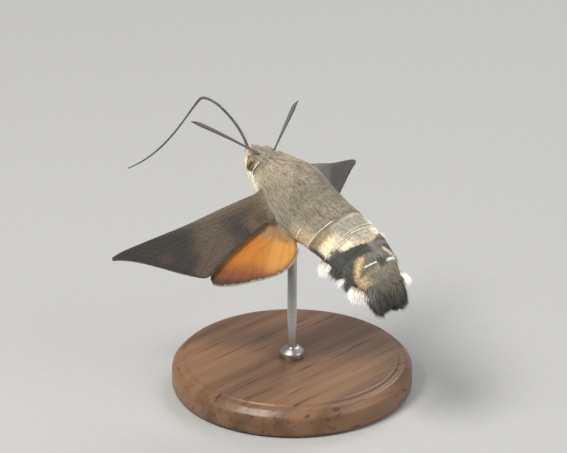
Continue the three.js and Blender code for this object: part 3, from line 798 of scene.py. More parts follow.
class Finish:
    """A material made of nodes."""

    def __init__(self, name, **settings):
        self.material = bpy.data.materials.new(name)
        self.material.use_nodes = True
        self.nodes = self.material.node_tree.nodes
        self.links = self.material.node_tree.links
        self.shader = self.nodes["Principled BSDF"]
        for socket, value in settings.items():
            self.shader.inputs[socket.replace("_", " ")].default_value = value

    def node(self, kind, settings=None, inputs=None):
        """Adds a node: its settings first, then the values or links of its inputs."""
        node = self.nodes.new(kind)
        for setting, value in (settings or {}).items():
            setattr(node, setting, value)
        for socket, value in (inputs or {}).items():
            self.feed(node.inputs[socket], value)
        return node

    def value(self, kind, output, settings=None, inputs=None):
        """Adds a node and takes one of its outputs."""
        return Shade(self, self.node(kind, settings, inputs).outputs[output])

    def feed(self, socket, value):
        if isinstance(value, Shade):
            self.links.new(value.socket, socket)
        elif socket.type == "RGBA":
            socket.default_value = (*value, 1.0)
        else:
            socket.default_value = value

    def attribute(self, name):
        """The three numbers of a vector stored on the mesh."""
        stored = self.value("ShaderNodeAttribute", "Vector", {"attribute_name": name})
        parts = self.node("ShaderNodeSeparateXYZ", inputs={0: stored})
        return [Shade(self, socket) for socket in parts.outputs]

    def vector(self, x, y, z=0.0):
        return self.value("ShaderNodeCombineXYZ", 0, inputs={0: x, 1: y, 2: z})

    def noise(self, scale, detail=2.0, place=None, stretch=None):
        """Soft noise over the object's own place, or over another."""
        if place is None:
            place = self.value("ShaderNodeTexCoord", "Object")
        if stretch is not None:
            place = self.value("ShaderNodeMapping", 0, inputs={"Vector": place, "Scale": stretch})
        inputs = {"Vector": place, "Scale": scale, "Detail": detail}
        return self.value("ShaderNodeTexNoise", "Fac", inputs=inputs)

    def mix(self, first, second, share):
        return self.value("ShaderNodeMix", 2, {"data_type": "RGBA"}, {0: share, 6: first, 7: second})

    def bright(self, colour, amount):
        """A colour times a grey level."""
        inputs = {0: colour, 1: self.vector(amount, amount, amount)}
        return self.value("ShaderNodeVectorMath", 0, {"operation": "MULTIPLY"}, inputs)

    def colour(self, value):
        self.feed(self.shader.inputs["Base Color"], value)

    def roughness(self, value):
        self.feed(self.shader.inputs["Roughness"], value)

    def bump(self, height, distance, strength=1.0):
        inputs = {"Height": height, "Distance": distance, "Strength": strength}
        self.feed(self.shader.inputs["Normal"], self.value("ShaderNodeBump", 0, inputs=inputs))


class Layers:
    """Colours laid over each other, each where its mask is 1."""

    def __init__(self, finish, colour):
        self.finish = finish
        self.top = colour

    def lay(self, colour, mask):
        self.top = self.finish.mix(self.top, colour, mask)


# Colours of the moth, as linear red, green and blue.
TAN = (0.47, 0.395, 0.287)
WARM_TAN = (0.63, 0.55, 0.42)
GREY_TAN = (0.22, 0.198, 0.152)
GREY_BROWN = (0.355, 0.304, 0.221)
MOUSE = (0.30, 0.258, 0.19)
RING_GREY = (0.19, 0.165, 0.125)
CREAM = (0.86, 0.76, 0.56)
WHITE = (0.90, 0.87, 0.76)
PALE_YELLOW = (1.0, 0.85, 0.52)
YELLOW_CREAM = (0.96, 0.87, 0.65)
BROWN_SHADE = (0.30, 0.205, 0.11)
PINK_GREY = (0.41, 0.377, 0.307)
PALE_GREY = (0.49, 0.45, 0.37)
BLACK = (0.075, 0.078, 0.071)
# Grey-blue of hairs among the black, partly a painted highlight on the black hair.
BLUE_GREY_HAIR_AND_HIGHLIGHT = (0.19, 0.2, 0.195)
GOLD = (0.78, 0.6, 0.34)
GOLD_SHADE = (0.36, 0.25, 0.125)
FLANK_TAN = (0.62, 0.475, 0.29)
PURPLE_GREY = (0.225, 0.21, 0.178)
OLIVE_BROWN = (0.294, 0.257, 0.19)
BELLY = (0.52, 0.47, 0.38)
# Dark hairs of the head, thorax and last ring, and painted shade in the crease of the neck.
DARK_HAIR_AND_CREASE_SHADE = (0.15, 0.125, 0.095)
HEAD_GREY = (0.335, 0.297, 0.232)
FAN_ROOT = (0.62, 0.43, 0.25)
FAN_WHITES = ((0.88, 0.86, 0.79), (0.97, 0.96, 0.92))
BRUSH_BLACK = (0.052, 0.051, 0.046)
BRUSH_BROWN = (0.135, 0.126, 0.105)
# Tufts of two colours mixed by chance and by noise, and how bright their roots are: the darker root is
# painted shade.
TUFT_LOOKS = {
    "cream_rows": ((0.72, 0.63, 0.46), (0.88, 0.81, 0.64), 0.8),
    "white_rows": ((0.84, 0.83, 0.77), (0.92, 0.91, 0.86), 0.85),
    "dark_rows": ((0.08, 0.065, 0.045), (0.17, 0.14, 0.10), 0.8),
    "black_fans": ((0.05, 0.05, 0.045), (0.14, 0.135, 0.115), 0.5),
    "leg_tufts": ((0.42, 0.36, 0.27), (0.80, 0.77, 0.68), 0.7),
}
EYE_BROWN = (0.25, 0.185, 0.112)
EYE_DARK = (0.08, 0.055, 0.03)
EYE_LIGHT = (0.45, 0.37, 0.25)
FEELER_GREY = (0.28, 0.265, 0.22)
FEELER_DARK = (0.085, 0.075, 0.058)
FEELER_JOINT = (0.38, 0.35, 0.29)
FEELER_TIP = (0.05, 0.04, 0.03)
TONGUE_DARK = (0.07, 0.062, 0.05)
TONGUE_BROWN = (0.18, 0.15, 0.11)
TONGUE_ROOT = (0.19, 0.14, 0.09)
LEG_PALE = (0.70, 0.65, 0.54)
LEG_GREY = (0.40, 0.35, 0.27)
LEG_JOINT = (0.14, 0.11, 0.085)
PALP_DARK = (0.36, 0.31, 0.235)
PALP_LIGHT = (0.48, 0.42, 0.33)
PALP_TOP = (0.375, 0.335, 0.255)
PALP_UNDER = (0.80, 0.76, 0.65)
WALNUT_DARK = (0.105, 0.05, 0.024)
WALNUT_LIGHT = (0.27, 0.14, 0.068)
WALNUT_PORE = (0.035, 0.018, 0.01)
STEEL_DULL = (0.44, 0.44, 0.43)
STEEL_BRIGHT = (0.66, 0.66, 0.65)
FLOOR_DARK = (0.5, 0.5, 0.49)
FLOOR_LIGHT = (0.54, 0.54, 0.53)
# Colours of the wings.
FORE_GROUND = (0.112, 0.092, 0.069)
FORE_BASE = (0.139, 0.105, 0.065)
FORE_LIGHT = (0.137, 0.095, 0.06)
FORE_DARK = (0.046, 0.043, 0.038)
FORE_OUTER = (0.037, 0.034, 0.029)
FORE_EDGE = (0.21, 0.175, 0.126)
FORE_UNDER = (0.36, 0.18, 0.07)
HIND_ORANGE = (0.65, 0.235, 0.036)
HIND_BRIGHT = (0.83, 0.38, 0.09)
HIND_RED = (0.24, 0.08, 0.034)
HIND_BASE = (0.43, 0.26, 0.13)
HIND_BORDER = (0.05, 0.037, 0.03)
HIND_UNDER = (0.62, 0.31, 0.1)
HIND_UNDER_BASE = (0.70, 0.57, 0.33)
FRINGE_BROWN = (0.10, 0.085, 0.066)
FRINGE_PALE = (0.44, 0.405, 0.325)
WING_ROOT_TAN = (0.255, 0.212, 0.15)
HIND_ROOT_TAN = (0.43, 0.27, 0.14)


class BodyPlace:
    """Where a point of skin or coat lies in the markings.

    `x`, in mm, and `off`, in degrees from the middle of the back, are made ragged by noise and by
    the rough number, which differs from tuft to tuft. The thin lines are drawn on `line_x` and
    `true_off`, which hardly are.
    """

    def __init__(self, finish, rough):
        true_x, self.signed, _ = finish.attribute("place")
        grain = finish.vector(true_x, self.signed / 14)
        self.broad = finish.noise(0.55, 3.0, grain)
        self.fine = finish.noise(2.6, 2.0, grain)
        self.rough = rough
        self.line_x = true_x + (self.fine - 0.5) * 0.16
        self.x = true_x + rough * 0.55 + (self.fine - 0.5) * 0.5
        self.behind = -self.x
        self.true_off = abs(self.signed + self.behind.rise(5.0, 9.0) * MIDDLE_SHIFT)
        self.off = self.true_off + rough * 7 + (self.fine - 0.5) * 10
        self.slant = self.true_off.rise(60, 105) * 0.4
        # Black with grey-blue hairs mixed in, which also stand for a painted highlight on the black hair.
        self.black = finish.mix(BLACK, BLUE_GREY_HAIR_AND_HIGHLIGHT, rough.rise(0.3, 0.46) * 0.6)


def thorax_colour(finish, at):
    """Tan towards the front and sides, greyer over the rear of the thorax, pale below."""
    x, off, behind, broad, fine = at.x, at.off, at.behind, at.broad, at.fine
    fur = Layers(finish, TAN)
    fur.lay(GREY_TAN, (broad + behind.rise(-2.0, 4.5) * 0.4).rise(0.4, 0.95) * 0.75)
    fur.lay(WARM_TAN, off.rise(40, 75) * broad.rise(0.35, 0.6) * (x.rise(1.5, 3.5) * 0.5 + 0.35))
    # A grey band over both shoulders, and the right side painted greyer than the left: painted shade on the
    # side away from the light.
    shoulder = off.rise(28, 44) * off.fall(66, 82) * 0.2 + (-at.signed).rise(-5, 25) * 0.17
    fur.lay(GREY_TAN, shoulder * x.fall(0.5, 2.5))
    fur.lay(HEAD_GREY, (x + (broad - 0.5) * 2.5).rise(2.8, 5.2) * off.fall(38, 62) * 0.9)
    # Painted shade in the crease where the head's coat meets the thorax's.
    neck = at.line_x.band(4.5, 0.3, 0.2) * at.true_off.fall(26, 44)
    fur.lay(DARK_HAIR_AND_CREASE_SHADE, neck * fine.rise(0.46, 0.62) * 0.25)
    fur.lay(DARK_HAIR_AND_CREASE_SHADE, x.rise(3.3, 4.4) * off.fall(45, 65) * fine.rise(0.52, 0.64) * 0.55)
    rear_streaks = at.line_x.band(-4.2, 0.9, 0.6) * at.signed.band(-26, 18, 12) * fine.rise(0.5, 0.6)
    fur.lay(DARK_HAIR_AND_CREASE_SHADE, (rear_streaks * 0.5).most(behind.rise(-2.0, 3.0) * fine.rise(0.54, 0.7) * 0.3))
    breast = off.rise(74, 88) * x.rise(1.2, 2.6) + off.rise(104, 118) * x.rise(-4.6, -4.0)
    fur.lay(WHITE, breast.least(1))
    fur.lay(CREAM, x.rise(6.0, 6.6) * off.rise(34, 52) * 0.75)
    fur.lay(DARK_HAIR_AND_CREASE_SHADE, at.line_x.band(4.1, 0.1, 0.1) * at.true_off.band(60, 26, 12) * 0.3)
    wisps = at.line_x.band(3.9, 0.9, 0.7) * at.true_off.fall(40, 60) * fine.rise(0.5, 0.62)
    fur.lay(DARK_HAIR_AND_CREASE_SHADE, wisps * 0.4)
    return fur.top


def first_rings_colour(finish, at):
    """Grey-brown with soft darker rings and tan flanks."""
    fur = Layers(finish, GREY_BROWN)
    fur.lay(MOUSE, at.broad.rise(0.4, 0.65))
    fur.lay(RING_GREY, at.line_x.band(-6.15, 0.3, 0.3) * at.fine.rise(0.3, 0.6) * 0.65)
    for edge in (-5.3, -7.3, -8.3):
        fur.lay(RING_GREY, at.line_x.band(edge, 0.28, 0.3) * at.fine.rise(0.3, 0.6) * 0.6)
    fur.lay(FLANK_TAN, at.off.rise(50, 78) * at.behind.fall(8.2, 8.6) * 0.85)
    return fur.top


def lay_third_ring(finish, fur, at):
    """Brown shade behind its front line, then the pale yellow patch of the side."""
    third = at.behind.rise(8.6, 8.75)
    fur.lay(PINK_GREY, third)
    fur.lay(BROWN_SHADE, (at.x - at.slant).band(-9.15, 0.5, 0.3) * at.off.rise(26, 50) * 0.8)
    patch = (at.behind - (at.fine - 0.5) * 0.8).rise(9.1, 10.3) * at.off.rise(24, 58) * at.off.fall(86, 101)
    fur.lay(finish.mix(PALE_YELLOW, YELLOW_CREAM, at.behind.rise(9.7, 10.7)), patch)
    fur.lay(at.black, third * at.off.rise(92, 102))


def lay_fourth_ring(finish, fur, at):
    """Grey-tan middle, cream shoulder, black flank."""
    fourth = at.behind.rise(11.35, 11.5)
    pale = finish.mix(PALE_GREY, YELLOW_CREAM, at.off.rise(14, 40))
    fur.lay(finish.mix(pale, GOLD, at.behind.rise(12.3, 13.2) * 0.4), fourth)
    fur.lay(at.black, fourth * (at.off + (at.behind - 11.5) * 3).rise(53, 65) * 0.97)


def lay_fifth_ring(finish, fur, at):
    """Black arc in front, purple-grey back, golden stripe, black flank."""
    x, off, behind, rough, signed = at.x, at.off, at.behind, at.rough, at.signed
    behind_arc_front = off * 0.0224 - 13.66 - x
    behind_arc_rear = off * 0.014 - 14.85 - x
    fifth = behind_arc_rear.rise(-0.15, 0.15)
    fur.lay(PURPLE_GREY, behind_arc_front.rise(-0.15, 0.3))
    left_share = 0.2 + signed.rise(-14, 2) * 0.8
    arc = behind_arc_front.rise(-0.15, 0.1) * (1 - fifth) * off.rise(2, 12) * left_share
    right = (-signed).rise(20, 40)
    from_stripe = off - ((behind - 14.3) * 26 + 32 - right * 33)
    fur.lay(at.black, fifth * from_stripe.rise(9, 15) * 0.97)
    fur.lay(BLACK, arc)
    golden = from_stripe.band(0.0, 15.0 - right * 5, 9.0) * behind_arc_rear.rise(0.0, 0.45)
    flecks = at.fine.rise(0.5, 0.66) * 0.5
    shaded = abs(from_stripe).rise(5, 17) * 0.6 + flecks + abs(rough).rise(0.3, 0.5) * 0.5
    gold = finish.mix(GOLD, GOLD_SHADE, shaded.least(1))
    fur.lay(finish.mix(gold, YELLOW_CREAM, right * 0.7), golden)


def lay_last_ring(finish, fur, at):
    """Olive-brown with dark flecks and golden sides, darker towards the root of the brush."""
    last = Layers(finish, OLIVE_BROWN)
    last.lay(MOUSE, at.broad.rise(0.4, 0.6))
    last.lay(GOLD_SHADE, at.rough.rise(0.18, 0.4) * 0.4)
    last.lay(DARK_HAIR_AND_CREASE_SHADE, (-at.rough).rise(0.12, 0.4) * 0.7)
    last.lay(WARM_TAN, at.fine.rise(0.56, 0.68) * 0.5)
    last.lay(GOLD, at.off.rise(50, 74) * at.off.fall(104, 112) * at.fine.rise(0.35, 0.55) * 0.85)
    last.lay(BRUSH_BROWN, (at.behind + at.rough * 0.8).rise(17.3, 19.0))
    fur.lay(last.top, at.behind.rise(16.3, 16.5))


def lay_thin_lines(fur, at):
    """Painted brown shadow just behind the fringes, the faint second edge, and the black spot of the back."""
    slanted = at.line_x - at.slant
    fur.lay(BROWN_SHADE, slanted.band(-8.8, 0.12, 0.06) * at.true_off.fall(100, 108) * 0.6)
    fur.lay(BROWN_SHADE, slanted.band(-11.75, 0.1, 0.06) * at.true_off.fall(80, 95) * 0.5)
    fur.lay(CREAM, at.line_x.band(-11.08, 0.06, 0.04) * at.true_off.fall(40, 55) * 0.7)
    fur.lay(BLACK, at.x.band(-16.45, 0.42, 0.16) * at.off.fall(9, 15))


def body_colour(finish, rough):
    """The moth's markings, which skin and coat share.

    Every mark is a band of x times a band of degrees, and the marks are laid over each other from
    the head to the tail.
    """
    at = BodyPlace(finish, rough)
    fur = Layers(finish, thorax_colour(finish, at))
    fur.lay(first_rings_colour(finish, at), at.behind.rise(4.4, 5.6))
    lay_third_ring(finish, fur, at)
    lay_fourth_ring(finish, fur, at)
    lay_fifth_ring(finish, fur, at)
    lay_last_ring(finish, fur, at)
    lay_thin_lines(fur, at)
    belly = finish.mix(BELLY, WHITE, at.fine.rise(0.45, 0.7) * 0.5)
    fur.lay(belly, at.off.rise(112, 128) * at.behind.rise(4.0, 5.0) * at.behind.fall(17.0, 18.2))
    return fur.top


def strand_light(finish, colour, root_shade=0.7, tip_light=1.08, spread=0.4):
    """Painted shade at the root of each tuft and painted light at its tip, with every tuft a little different
    and one side of it a little darker than the other.
    """
    along, chance, across = finish.attribute("strand")
    level = along.rise(-0.1, 0.9) * (tip_light - root_shade) + root_shade
    level = level * (1 - spread / 2 + chance * spread) * (0.9 + across * 0.2)
    return finish.bright(colour, level)


def skin_finish():
    finish = Finish("moth_skin", Roughness=0.85, Specular_IOR_Level=0.2)
    streaks = finish.noise(3200.0, 3.0)
    # The skin is painted at about half the coat's brightness: painted shade where it shows between the tufts.
    finish.colour(finish.bright(body_colour(finish, streaks - 0.5), 0.45 + streaks * 0.3))
    finish.bump(streaks, 0.00006)
    return finish


def coat_finish():
    finish = Finish("moth_coat", Roughness=0.7, Specular_IOR_Level=0.25, Sheen_Weight=0.25)
    chance = finish.attribute("strand")[1]
    finish.colour(strand_light(finish, body_colour(finish, chance - 0.5), root_shade=0.56, spread=0.94))
    return finish


def plain_tuft_finish(name):
    finish = Finish(name, Roughness=0.65, Specular_IOR_Level=0.3)
    dark, light, root_shade = TUFT_LOOKS[name]
    chance = finish.attribute("strand")[1]
    spots = finish.noise(900.0)
    colour = finish.mix(dark, light, (chance * 0.6 + spots * 0.6).rise(0.3, 0.85))
    finish.colour(strand_light(finish, colour, root_shade))
    return finish


def fan_finish():
    """White scales that leave the flank's coat orange-brown."""
    finish = Finish("white_fans", Roughness=0.65, Specular_IOR_Level=0.3)
    along, chance, _ = finish.attribute("strand")
    white = finish.mix(*FAN_WHITES, chance)
    colour = finish.mix(FAN_ROOT, white, (along + chance * 0.3).rise(0.46, 0.8))
    finish.colour(strand_light(finish, colour, 0.82))
    return finish


def brush_finish():
    """Olive-brown where the brush leaves the body, black-brown along its length."""
    finish = Finish("brush_scales", Roughness=0.6, Specular_IOR_Level=0.3)
    along, chance, _ = finish.attribute("strand")
    dark = finish.mix(BRUSH_BLACK, BRUSH_BROWN, chance.rise(0.5, 1.0) * 0.8)
    colour = finish.mix(OLIVE_BROWN, dark, (along + chance * 0.5).rise(0.25, 0.75))
    # The tips are painted much lighter than the roots: painted light on the brush's end, which faces away
    # from the lamps, over painted shade at the roots.
    finish.colour(strand_light(finish, colour, 0.75, 1.45, 0.8))
    return finish


def forewing_colour(finish, span, depth, _):
    """Soft bands of span that lean with depth: dusky wedge, brown middle and dark outer part."""
    place = finish.vector(span, depth)
    along = span + (finish.noise(0.7, 3.0, place) - 0.5) * 2.2
    speck = finish.noise(5.0, 3.0, place, stretch=(0.5, 1.2, 1.0))
    brown = finish.mix(FORE_GROUND, FORE_LIGHT, speck.rise(0.35, 0.65))
    scales = Layers(finish, FORE_BASE)
    scales.lay(brown, along.rise(1.2, 4.0))
    wedge = (along - depth.rise(0.6, 2.8) * 2.6).rise(0.0, 2.4) * (along + depth * 0.3).fall(6.0, 9.0)
    scales.lay(FORE_DARK, wedge * depth.rise(0.7, 2.4) * 0.85)
    scales.lay(FORE_DARK, along.band(0.8, 0.9, 0.9) * depth.band(3.2, 0.4, 0.5) * 0.5)
    scales.lay(FORE_OUTER, (along - depth * 0.25).rise(9.0, 13.0) * 0.92)
    scales.lay(FORE_DARK, along.band(14.0, 1.3, 1.0) * depth.band(5.3, 1.3, 0.9) * 0.85)
    scales.lay(FORE_LIGHT, along.band(12.0, 0.9, 0.8) * depth.rise(5.2, 6.4) * 0.7)
    scales.lay(FORE_LIGHT, along.band(16.2, 0.9, 0.8) * depth.band(3.4, 0.6, 0.5) * 0.35)
    scales.lay(FORE_EDGE, depth.fall(0.3, 1.3) * span.fall(9, 18) * 0.5)
    return scales.top


def forewing_under_colour(finish, span, depth, edge):
    """Rusty orange that turns brown towards the tip and the edge."""
    wave = finish.noise(1.4, 3.0, finish.vector(span, depth))
    colour = finish.mix(FORE_UNDER, FORE_OUTER, (span + (wave - 0.5) * 2).rise(10.5, 15.0))
    return finish.mix(colour, FORE_GROUND, edge.fall(0.4, 1.5))


def hindwing_colour(finish, span, depth, edge):
    """Orange, brown at the root, redder towards the tip, with a dark border."""
    wave = finish.noise(1.1, 3.0, finish.vector(span, depth)) - 0.5
    along = span - (depth - 5.9) * 0.97
    orange = finish.mix(HIND_BRIGHT, HIND_ORANGE, (along + wave * 1.2).rise(-0.6, 2.8))
    scales = Layers(finish, HIND_BASE)
    scales.lay(orange, (span * 0.55 + depth - 5.6 + wave * 0.9).rise(0.3, 2.4))
    scales.lay(HIND_RED, (along - 1.1).band(0.0, 0.2, 0.45) * 0.22)
    redder = (edge - span.rise(2.0, 12.0) * 1.85 + wave * 0.8).fall(-0.2, 2.4)
    scales.lay(HIND_RED, redder * span.rise(0.5, 6.0) * 0.9)
    border = (edge - span.rise(5.0, 11.5) * 0.6 + wave * 0.4).fall(-0.3, 0.8)
    scales.lay(HIND_BORDER, border * 0.8)
    return scales.top


def hindwing_under_colour(finish, span, depth, edge):
    """Straw yellow at the root, orange further out, with a brown border."""
    wave = finish.noise(1.2, 3.0, finish.vector(span, depth))
    outer = (span + (depth - 7) * 0.4 + (wave - 0.5) * 1.5).rise(0.5, 4.5)
    return finish.mix(finish.mix(HIND_UNDER_BASE, HIND_UNDER, outer), HIND_RED, edge.fall(0.3, 1.1) * 0.8)


def wing_finish(name, upper_colour, under_colour, mottle):
    """Scales in fine rows: stretched noise and a wave across the wing give the grain and bump."""
    finish = Finish(name, Roughness=0.72, Specular_IOR_Level=0.25, Sheen_Weight=0.35, Sheen_Roughness=0.5)
    flat = finish.attribute("flat")
    vein, face, _ = finish.attribute("wing")
    place = finish.vector(*flat[:2])
    colour = finish.mix(under_colour(finish, *flat), upper_colour(finish, *flat), face)
    scales = finish.noise(4.0, 4.0, place, stretch=(1.5, 1.0, 1.0))
    rows = finish.noise(22.0, 1.0, place, stretch=(1.0, 0.35, 1.0))
    level = (1 + (scales - 0.5) * mottle + (rows - 0.5) * 0.3) * (1 - vein * 0.12)
    finish.colour(finish.bright(colour, level))
    finish.bump(scales + rows * 0.6, 0.00004)
    return finish


def fringe_finish(name, dark, light):
    finish = Finish(name, Roughness=0.75, Specular_IOR_Level=0.2)
    along, chance, _ = finish.attribute("strand")
    colour = finish.mix(dark, light, (along + chance * 0.4).rise(0.2, 0.8))
    finish.colour(finish.bright(colour, 0.8 + chance * 0.35))
    return finish


def wing_hair_finish(name, root_colour, wing_colour):
    """Hair of the wing root: a tan at the body, the wing's own colours further out."""
    finish = Finish(name, Roughness=0.75, Specular_IOR_Level=0.2)
    span, depth, edge = finish.attribute("place")
    further_out = (span + (depth - 3) * 0.2).rise(-0.6, 2.2)
    colour = finish.mix(root_colour, wing_colour(finish, span, depth, edge), further_out)
    finish.colour(strand_light(finish, colour, 0.9, 1.05, 0.25))
    return finish


def eye_finish():
    """Brown, with the dark upright streaks of a compound eye and a fine net of facets."""
    finish = Finish("compound_eye", Roughness=0.42, Specular_IOR_Level=0.35,
                    Coat_Weight=0.12, Coat_Roughness=0.25)
    x, y, z = finish.attribute("place")
    place = finish.vector(x, y, z)
    slant = x + z * 0.16 + finish.noise(1.6, 2.0, place) * 0.2 - 0.1
    streaks = Layers(finish, EYE_BROWN)
    streaks.lay(EYE_LIGHT, slant.band(0.5, 0.16, 0.12) * 0.7)
    streaks.lay(EYE_DARK, slant.band(-0.05, 0.17, 0.09) * z.band(0.0, 0.95, 0.25))
    streaks.lay(EYE_LIGHT, slant.band(-0.34, 0.07, 0.06) * 0.5)
    streaks.lay(EYE_DARK, (-slant).rise(0.62, 0.9) * 0.8)
    net = finish.value("ShaderNodeTexVoronoi", "Distance", inputs={"Vector": place, "Scale": 26.0})
    finish.colour(finish.bright(streaks.top, 1.12 - net * 0.5))
    finish.bump(net, 0.00001, 0.6)
    return finish


def feeler_finish():
    """Dark above, grey along the sides, with a paler ring at every joint."""
    finish = Finish("feeler", Roughness=0.62, Specular_IOR_Level=0.35)
    along, ring, height = finish.attribute("place")
    spots = finish.noise(4000.0)
    colour = Layers(finish, FEELER_GREY)
    colour.lay(FEELER_DARK, (height + spots * 0.4).rise(0.2, 0.75))
    colour.lay(FEELER_JOINT, ring.band(0.5, 0.16, 0.1) * 0.5)
    colour.lay(FEELER_TIP, along.rise(0.93, 0.97))
    finish.colour(colour.top)
    finish.bump(spots, 0.00002)
    return finish


def tongue_finish():
    """Dark horn with fine rings, browner at its root."""
    finish = Finish("tongue", Roughness=0.38, Coat_Weight=0.15)
    along, ring, _ = finish.attribute("place")
    streaks = finish.noise(2600.0)
    colour = finish.mix(TONGUE_DARK, TONGUE_BROWN, streaks.rise(0.4, 0.7))
    finish.colour(finish.mix(colour, TONGUE_ROOT, along.fall(0.0, 0.25) * 0.6))
    finish.bump(ring.band(0.5, 0.2, 0.2) + streaks * 0.5, 0.00001)
    return finish


def leg_finish():
    """Pale tan scales, greyer above, with thin dark rings at the joints of the foot."""
    finish = Finish("leg_scales", Roughness=0.68, Specular_IOR_Level=0.3)
    along, ring, height = finish.attribute("place")
    spots = finish.noise(2600.0, 3.0)
    colour = finish.mix(LEG_PALE, LEG_GREY, (spots + height * 0.25).rise(0.42, 0.75))
    foot = along.rise(0.6, 0.66)
    finish.colour(finish.mix(colour, LEG_JOINT, foot * ring.band(0.5, 0.2, 0.1) * 0.8))
    finish.bump(spots, 0.00004)
    return finish


def palp_skin_finish():
    finish = Finish("palp_skin", Roughness=0.8, Specular_IOR_Level=0.2)
    spots = finish.noise(3000.0)
    finish.colour(finish.mix(PALP_DARK, PALP_LIGHT, spots.rise(0.35, 0.65)))
    finish.bump(spots, 0.00004)
    return finish


def palp_scales_finish():
    """Grey-tan above and outside, cream below."""
    finish = Finish("palp_scales", Roughness=0.7, Specular_IOR_Level=0.25)
    chance, underside, _ = finish.attribute("place")
    colour = finish.mix(PALP_TOP, PALP_UNDER, (underside + chance * 0.2).rise(0.1, 0.5))
    finish.colour(strand_light(finish, colour))
    return finish


def walnut_finish():
    """Walnut: long wavy rings of grain along x, short dark pores, and a satin clear coat."""
    finish = Finish("walnut", Coat_Weight=0.22, Coat_Roughness=0.2, Specular_IOR_Level=0.4)
    drift = finish.noise(60.0, 3.0, stretch=(0.25, 1.0, 1.0))
    rings = finish.noise(420.0, 3.0, stretch=(0.06, 1.0, 0.7))
    pores = finish.noise(1900.0, 2.0, stretch=(0.05, 1.0, 1.0))
    deep = pores.rise(0.58, 0.7)
    colour = finish.mix(WALNUT_DARK, WALNUT_LIGHT, (rings * 0.7 + drift * 0.5).rise(0.38, 0.78))
    finish.colour(finish.mix(colour, WALNUT_PORE, deep * 0.7))
    finish.roughness(0.36 + pores * 0.2)
    finish.bump(rings * 0.3 - deep, 0.00002, 0.5)
    return finish


def steel_finish():
    """Steel brushed round the rod: noise squeezed along z gives fine bright and dull rings."""
    finish = Finish("brushed_rod", Metallic=1.0, Specular_IOR_Level=0.5)
    lines = finish.noise(700.0, 2.0, stretch=(1.0, 1.0, 14.0))
    smudge = finish.noise(300.0)
    finish.colour(finish.mix(STEEL_DULL, STEEL_BRIGHT, lines))
    finish.roughness(0.24 + lines * 0.14 + smudge * 0.1)
    finish.bump(lines, 0.000006, 0.5)
    return finish


def floor_finish():
    finish = Finish("pale_floor", Roughness=0.8, Specular_IOR_Level=0.2)
    specks = finish.noise(900.0, 3.0)
    finish.colour(finish.mix(FLOOR_DARK, FLOOR_LIGHT, specks))
    finish.bump(specks, 0.00004, 0.3)
    return finish


# Pieces.

def make_skin(finish):
    """The coat's outline drawn in by the coat's depth, from nose to tail, with sockets for the eyes."""
    front = np.linspace(NOSE_X, SKIN_ROWS_MEET_X, SKIN_FRONT_ROWS)
    rear = np.linspace(SKIN_ROWS_MEET_X, TAIL_X, SKIN_REAR_ROWS)
    turns = np.linspace(-math.pi, math.pi, SKIN_SIDES, endpoint=False)
    x, off = np.meshgrid(np.concatenate([front, rear[1:]]), turns, indexing="ij")
    rings = body_point(x, off, relief(x, off) - coat_depth(x))
    from_eye = np.hypot(rings[..., 0] - EYE_CENTRE[0], rings[..., 2] - EYE_CENTRE[2]) / EYE_RADIUS
    outer = smoothstep(np.abs(rings[..., 1]), 0.5, 1.0)
    socket = SOCKET_DEPTH * (1 - smoothstep(from_eye, *SOCKET_RIM))
    lid = LID_HEIGHT * hill(from_eye, SOCKET_RIM[1], LID_WIDTH)
    rings[..., 1] += np.sign(rings[..., 1]) * (lid - socket) * outer
    tail_pole = np.array([TAIL_X - TAIL_ROUNDING, spine_left(TAIL_X), spine_up(TAIL_X)])
    marks = {"place": ring_marks(body_marks(x, np.degrees(off)), (NOSE_X, 90.0, 0.0), (TAIL_X, 0.0, 0.0))}
    flesh = ("head", "thorax", "abdomen_front", "abdomen_middle", "abdomen_rear")
    tube_piece("skin", rings, (NOSE_POLE, tail_pole), marks, finish, "coat", flesh)


def make_forelock(finish):
    """Hair of the brow: it stands forward and up between the two palps."""
    first, second = even_places(BROW_COUNT, 58)
    chance, ragged = draws(59, BROW_COUNT)
    x = blend(*BROW_X, first)
    off = np.radians(blend(*BROW_OFF, second))
    outward = body_outward(x, off)
    root_at = body_point(x, off, -0.15)
    length = 0.2 + 0.2 * chance
    heading = unit(outward * 0.3 + np.array([0.9, 0.0, 0.0]) + 0.1 * ragged.T)
    tip_at = root_at + heading * length[:, None]
    bend_at = root_at + (heading + outward * 0.2) * (length * 0.5)[:, None]
    place = body_marks(x, np.degrees(off))
    tufts("forelock", (root_at, bend_at, tip_at), outward, 0.07 + 0.03 * chance, (first, second), chance,
          finish, "coat", (place, place))


def make_scale_rows(finishes):
    """Rows of short scales, each with its tip on the row's line."""
    for number, (word, (ends, left, right, length, lift, colour)) in enumerate(SCALE_ROWS.items()):
        girth = body_girth(np.array(ends[0]))
        sides = []
        for side, (start, end) in ((LEFT, left), (RIGHT, right)):
            degrees = np.linspace(start, end, int(math.radians(end - start) * girth / ROW_STEP))
            fade = 1 - smoothstep(degrees, end - ROW_FADE, end)
            fade *= smoothstep(degrees, start, start + ROW_FADE)
            sides.append((np.radians(degrees * side), fade, np.linspace(*ends, len(degrees))))
        off, fade, line_x = (np.concatenate(part) for part in zip(*sides))
        chance, ragged = draws(ROW_SEED + number, len(off), 1)
        jitter = 0.02 * ragged[0]
        tip_x = line_x + jitter
        reach = length * (0.7 + 0.6 * chance)
        proud = relief(line_x + 0.05, off) + lift
        root_at = body_point(tip_x + reach, off, proud - 0.12)
        bend_at = body_point(tip_x + reach * 0.6, off, proud)
        tip_at = body_point(tip_x, off + jitter * 0.5, proud - 0.03 - 0.02 * chance)
        tufts(f"scale_row_{word}", (root_at, bend_at, tip_at), body_outward(tip_x, off), 0.07 + 0.03 * chance,
              (chance, off / (2 * math.pi) + 0.5), chance, finishes[colour],
              "abdomen_coat" if ends[0] < WAIST_X else "coat", keep=chance < 0.3 + fade)


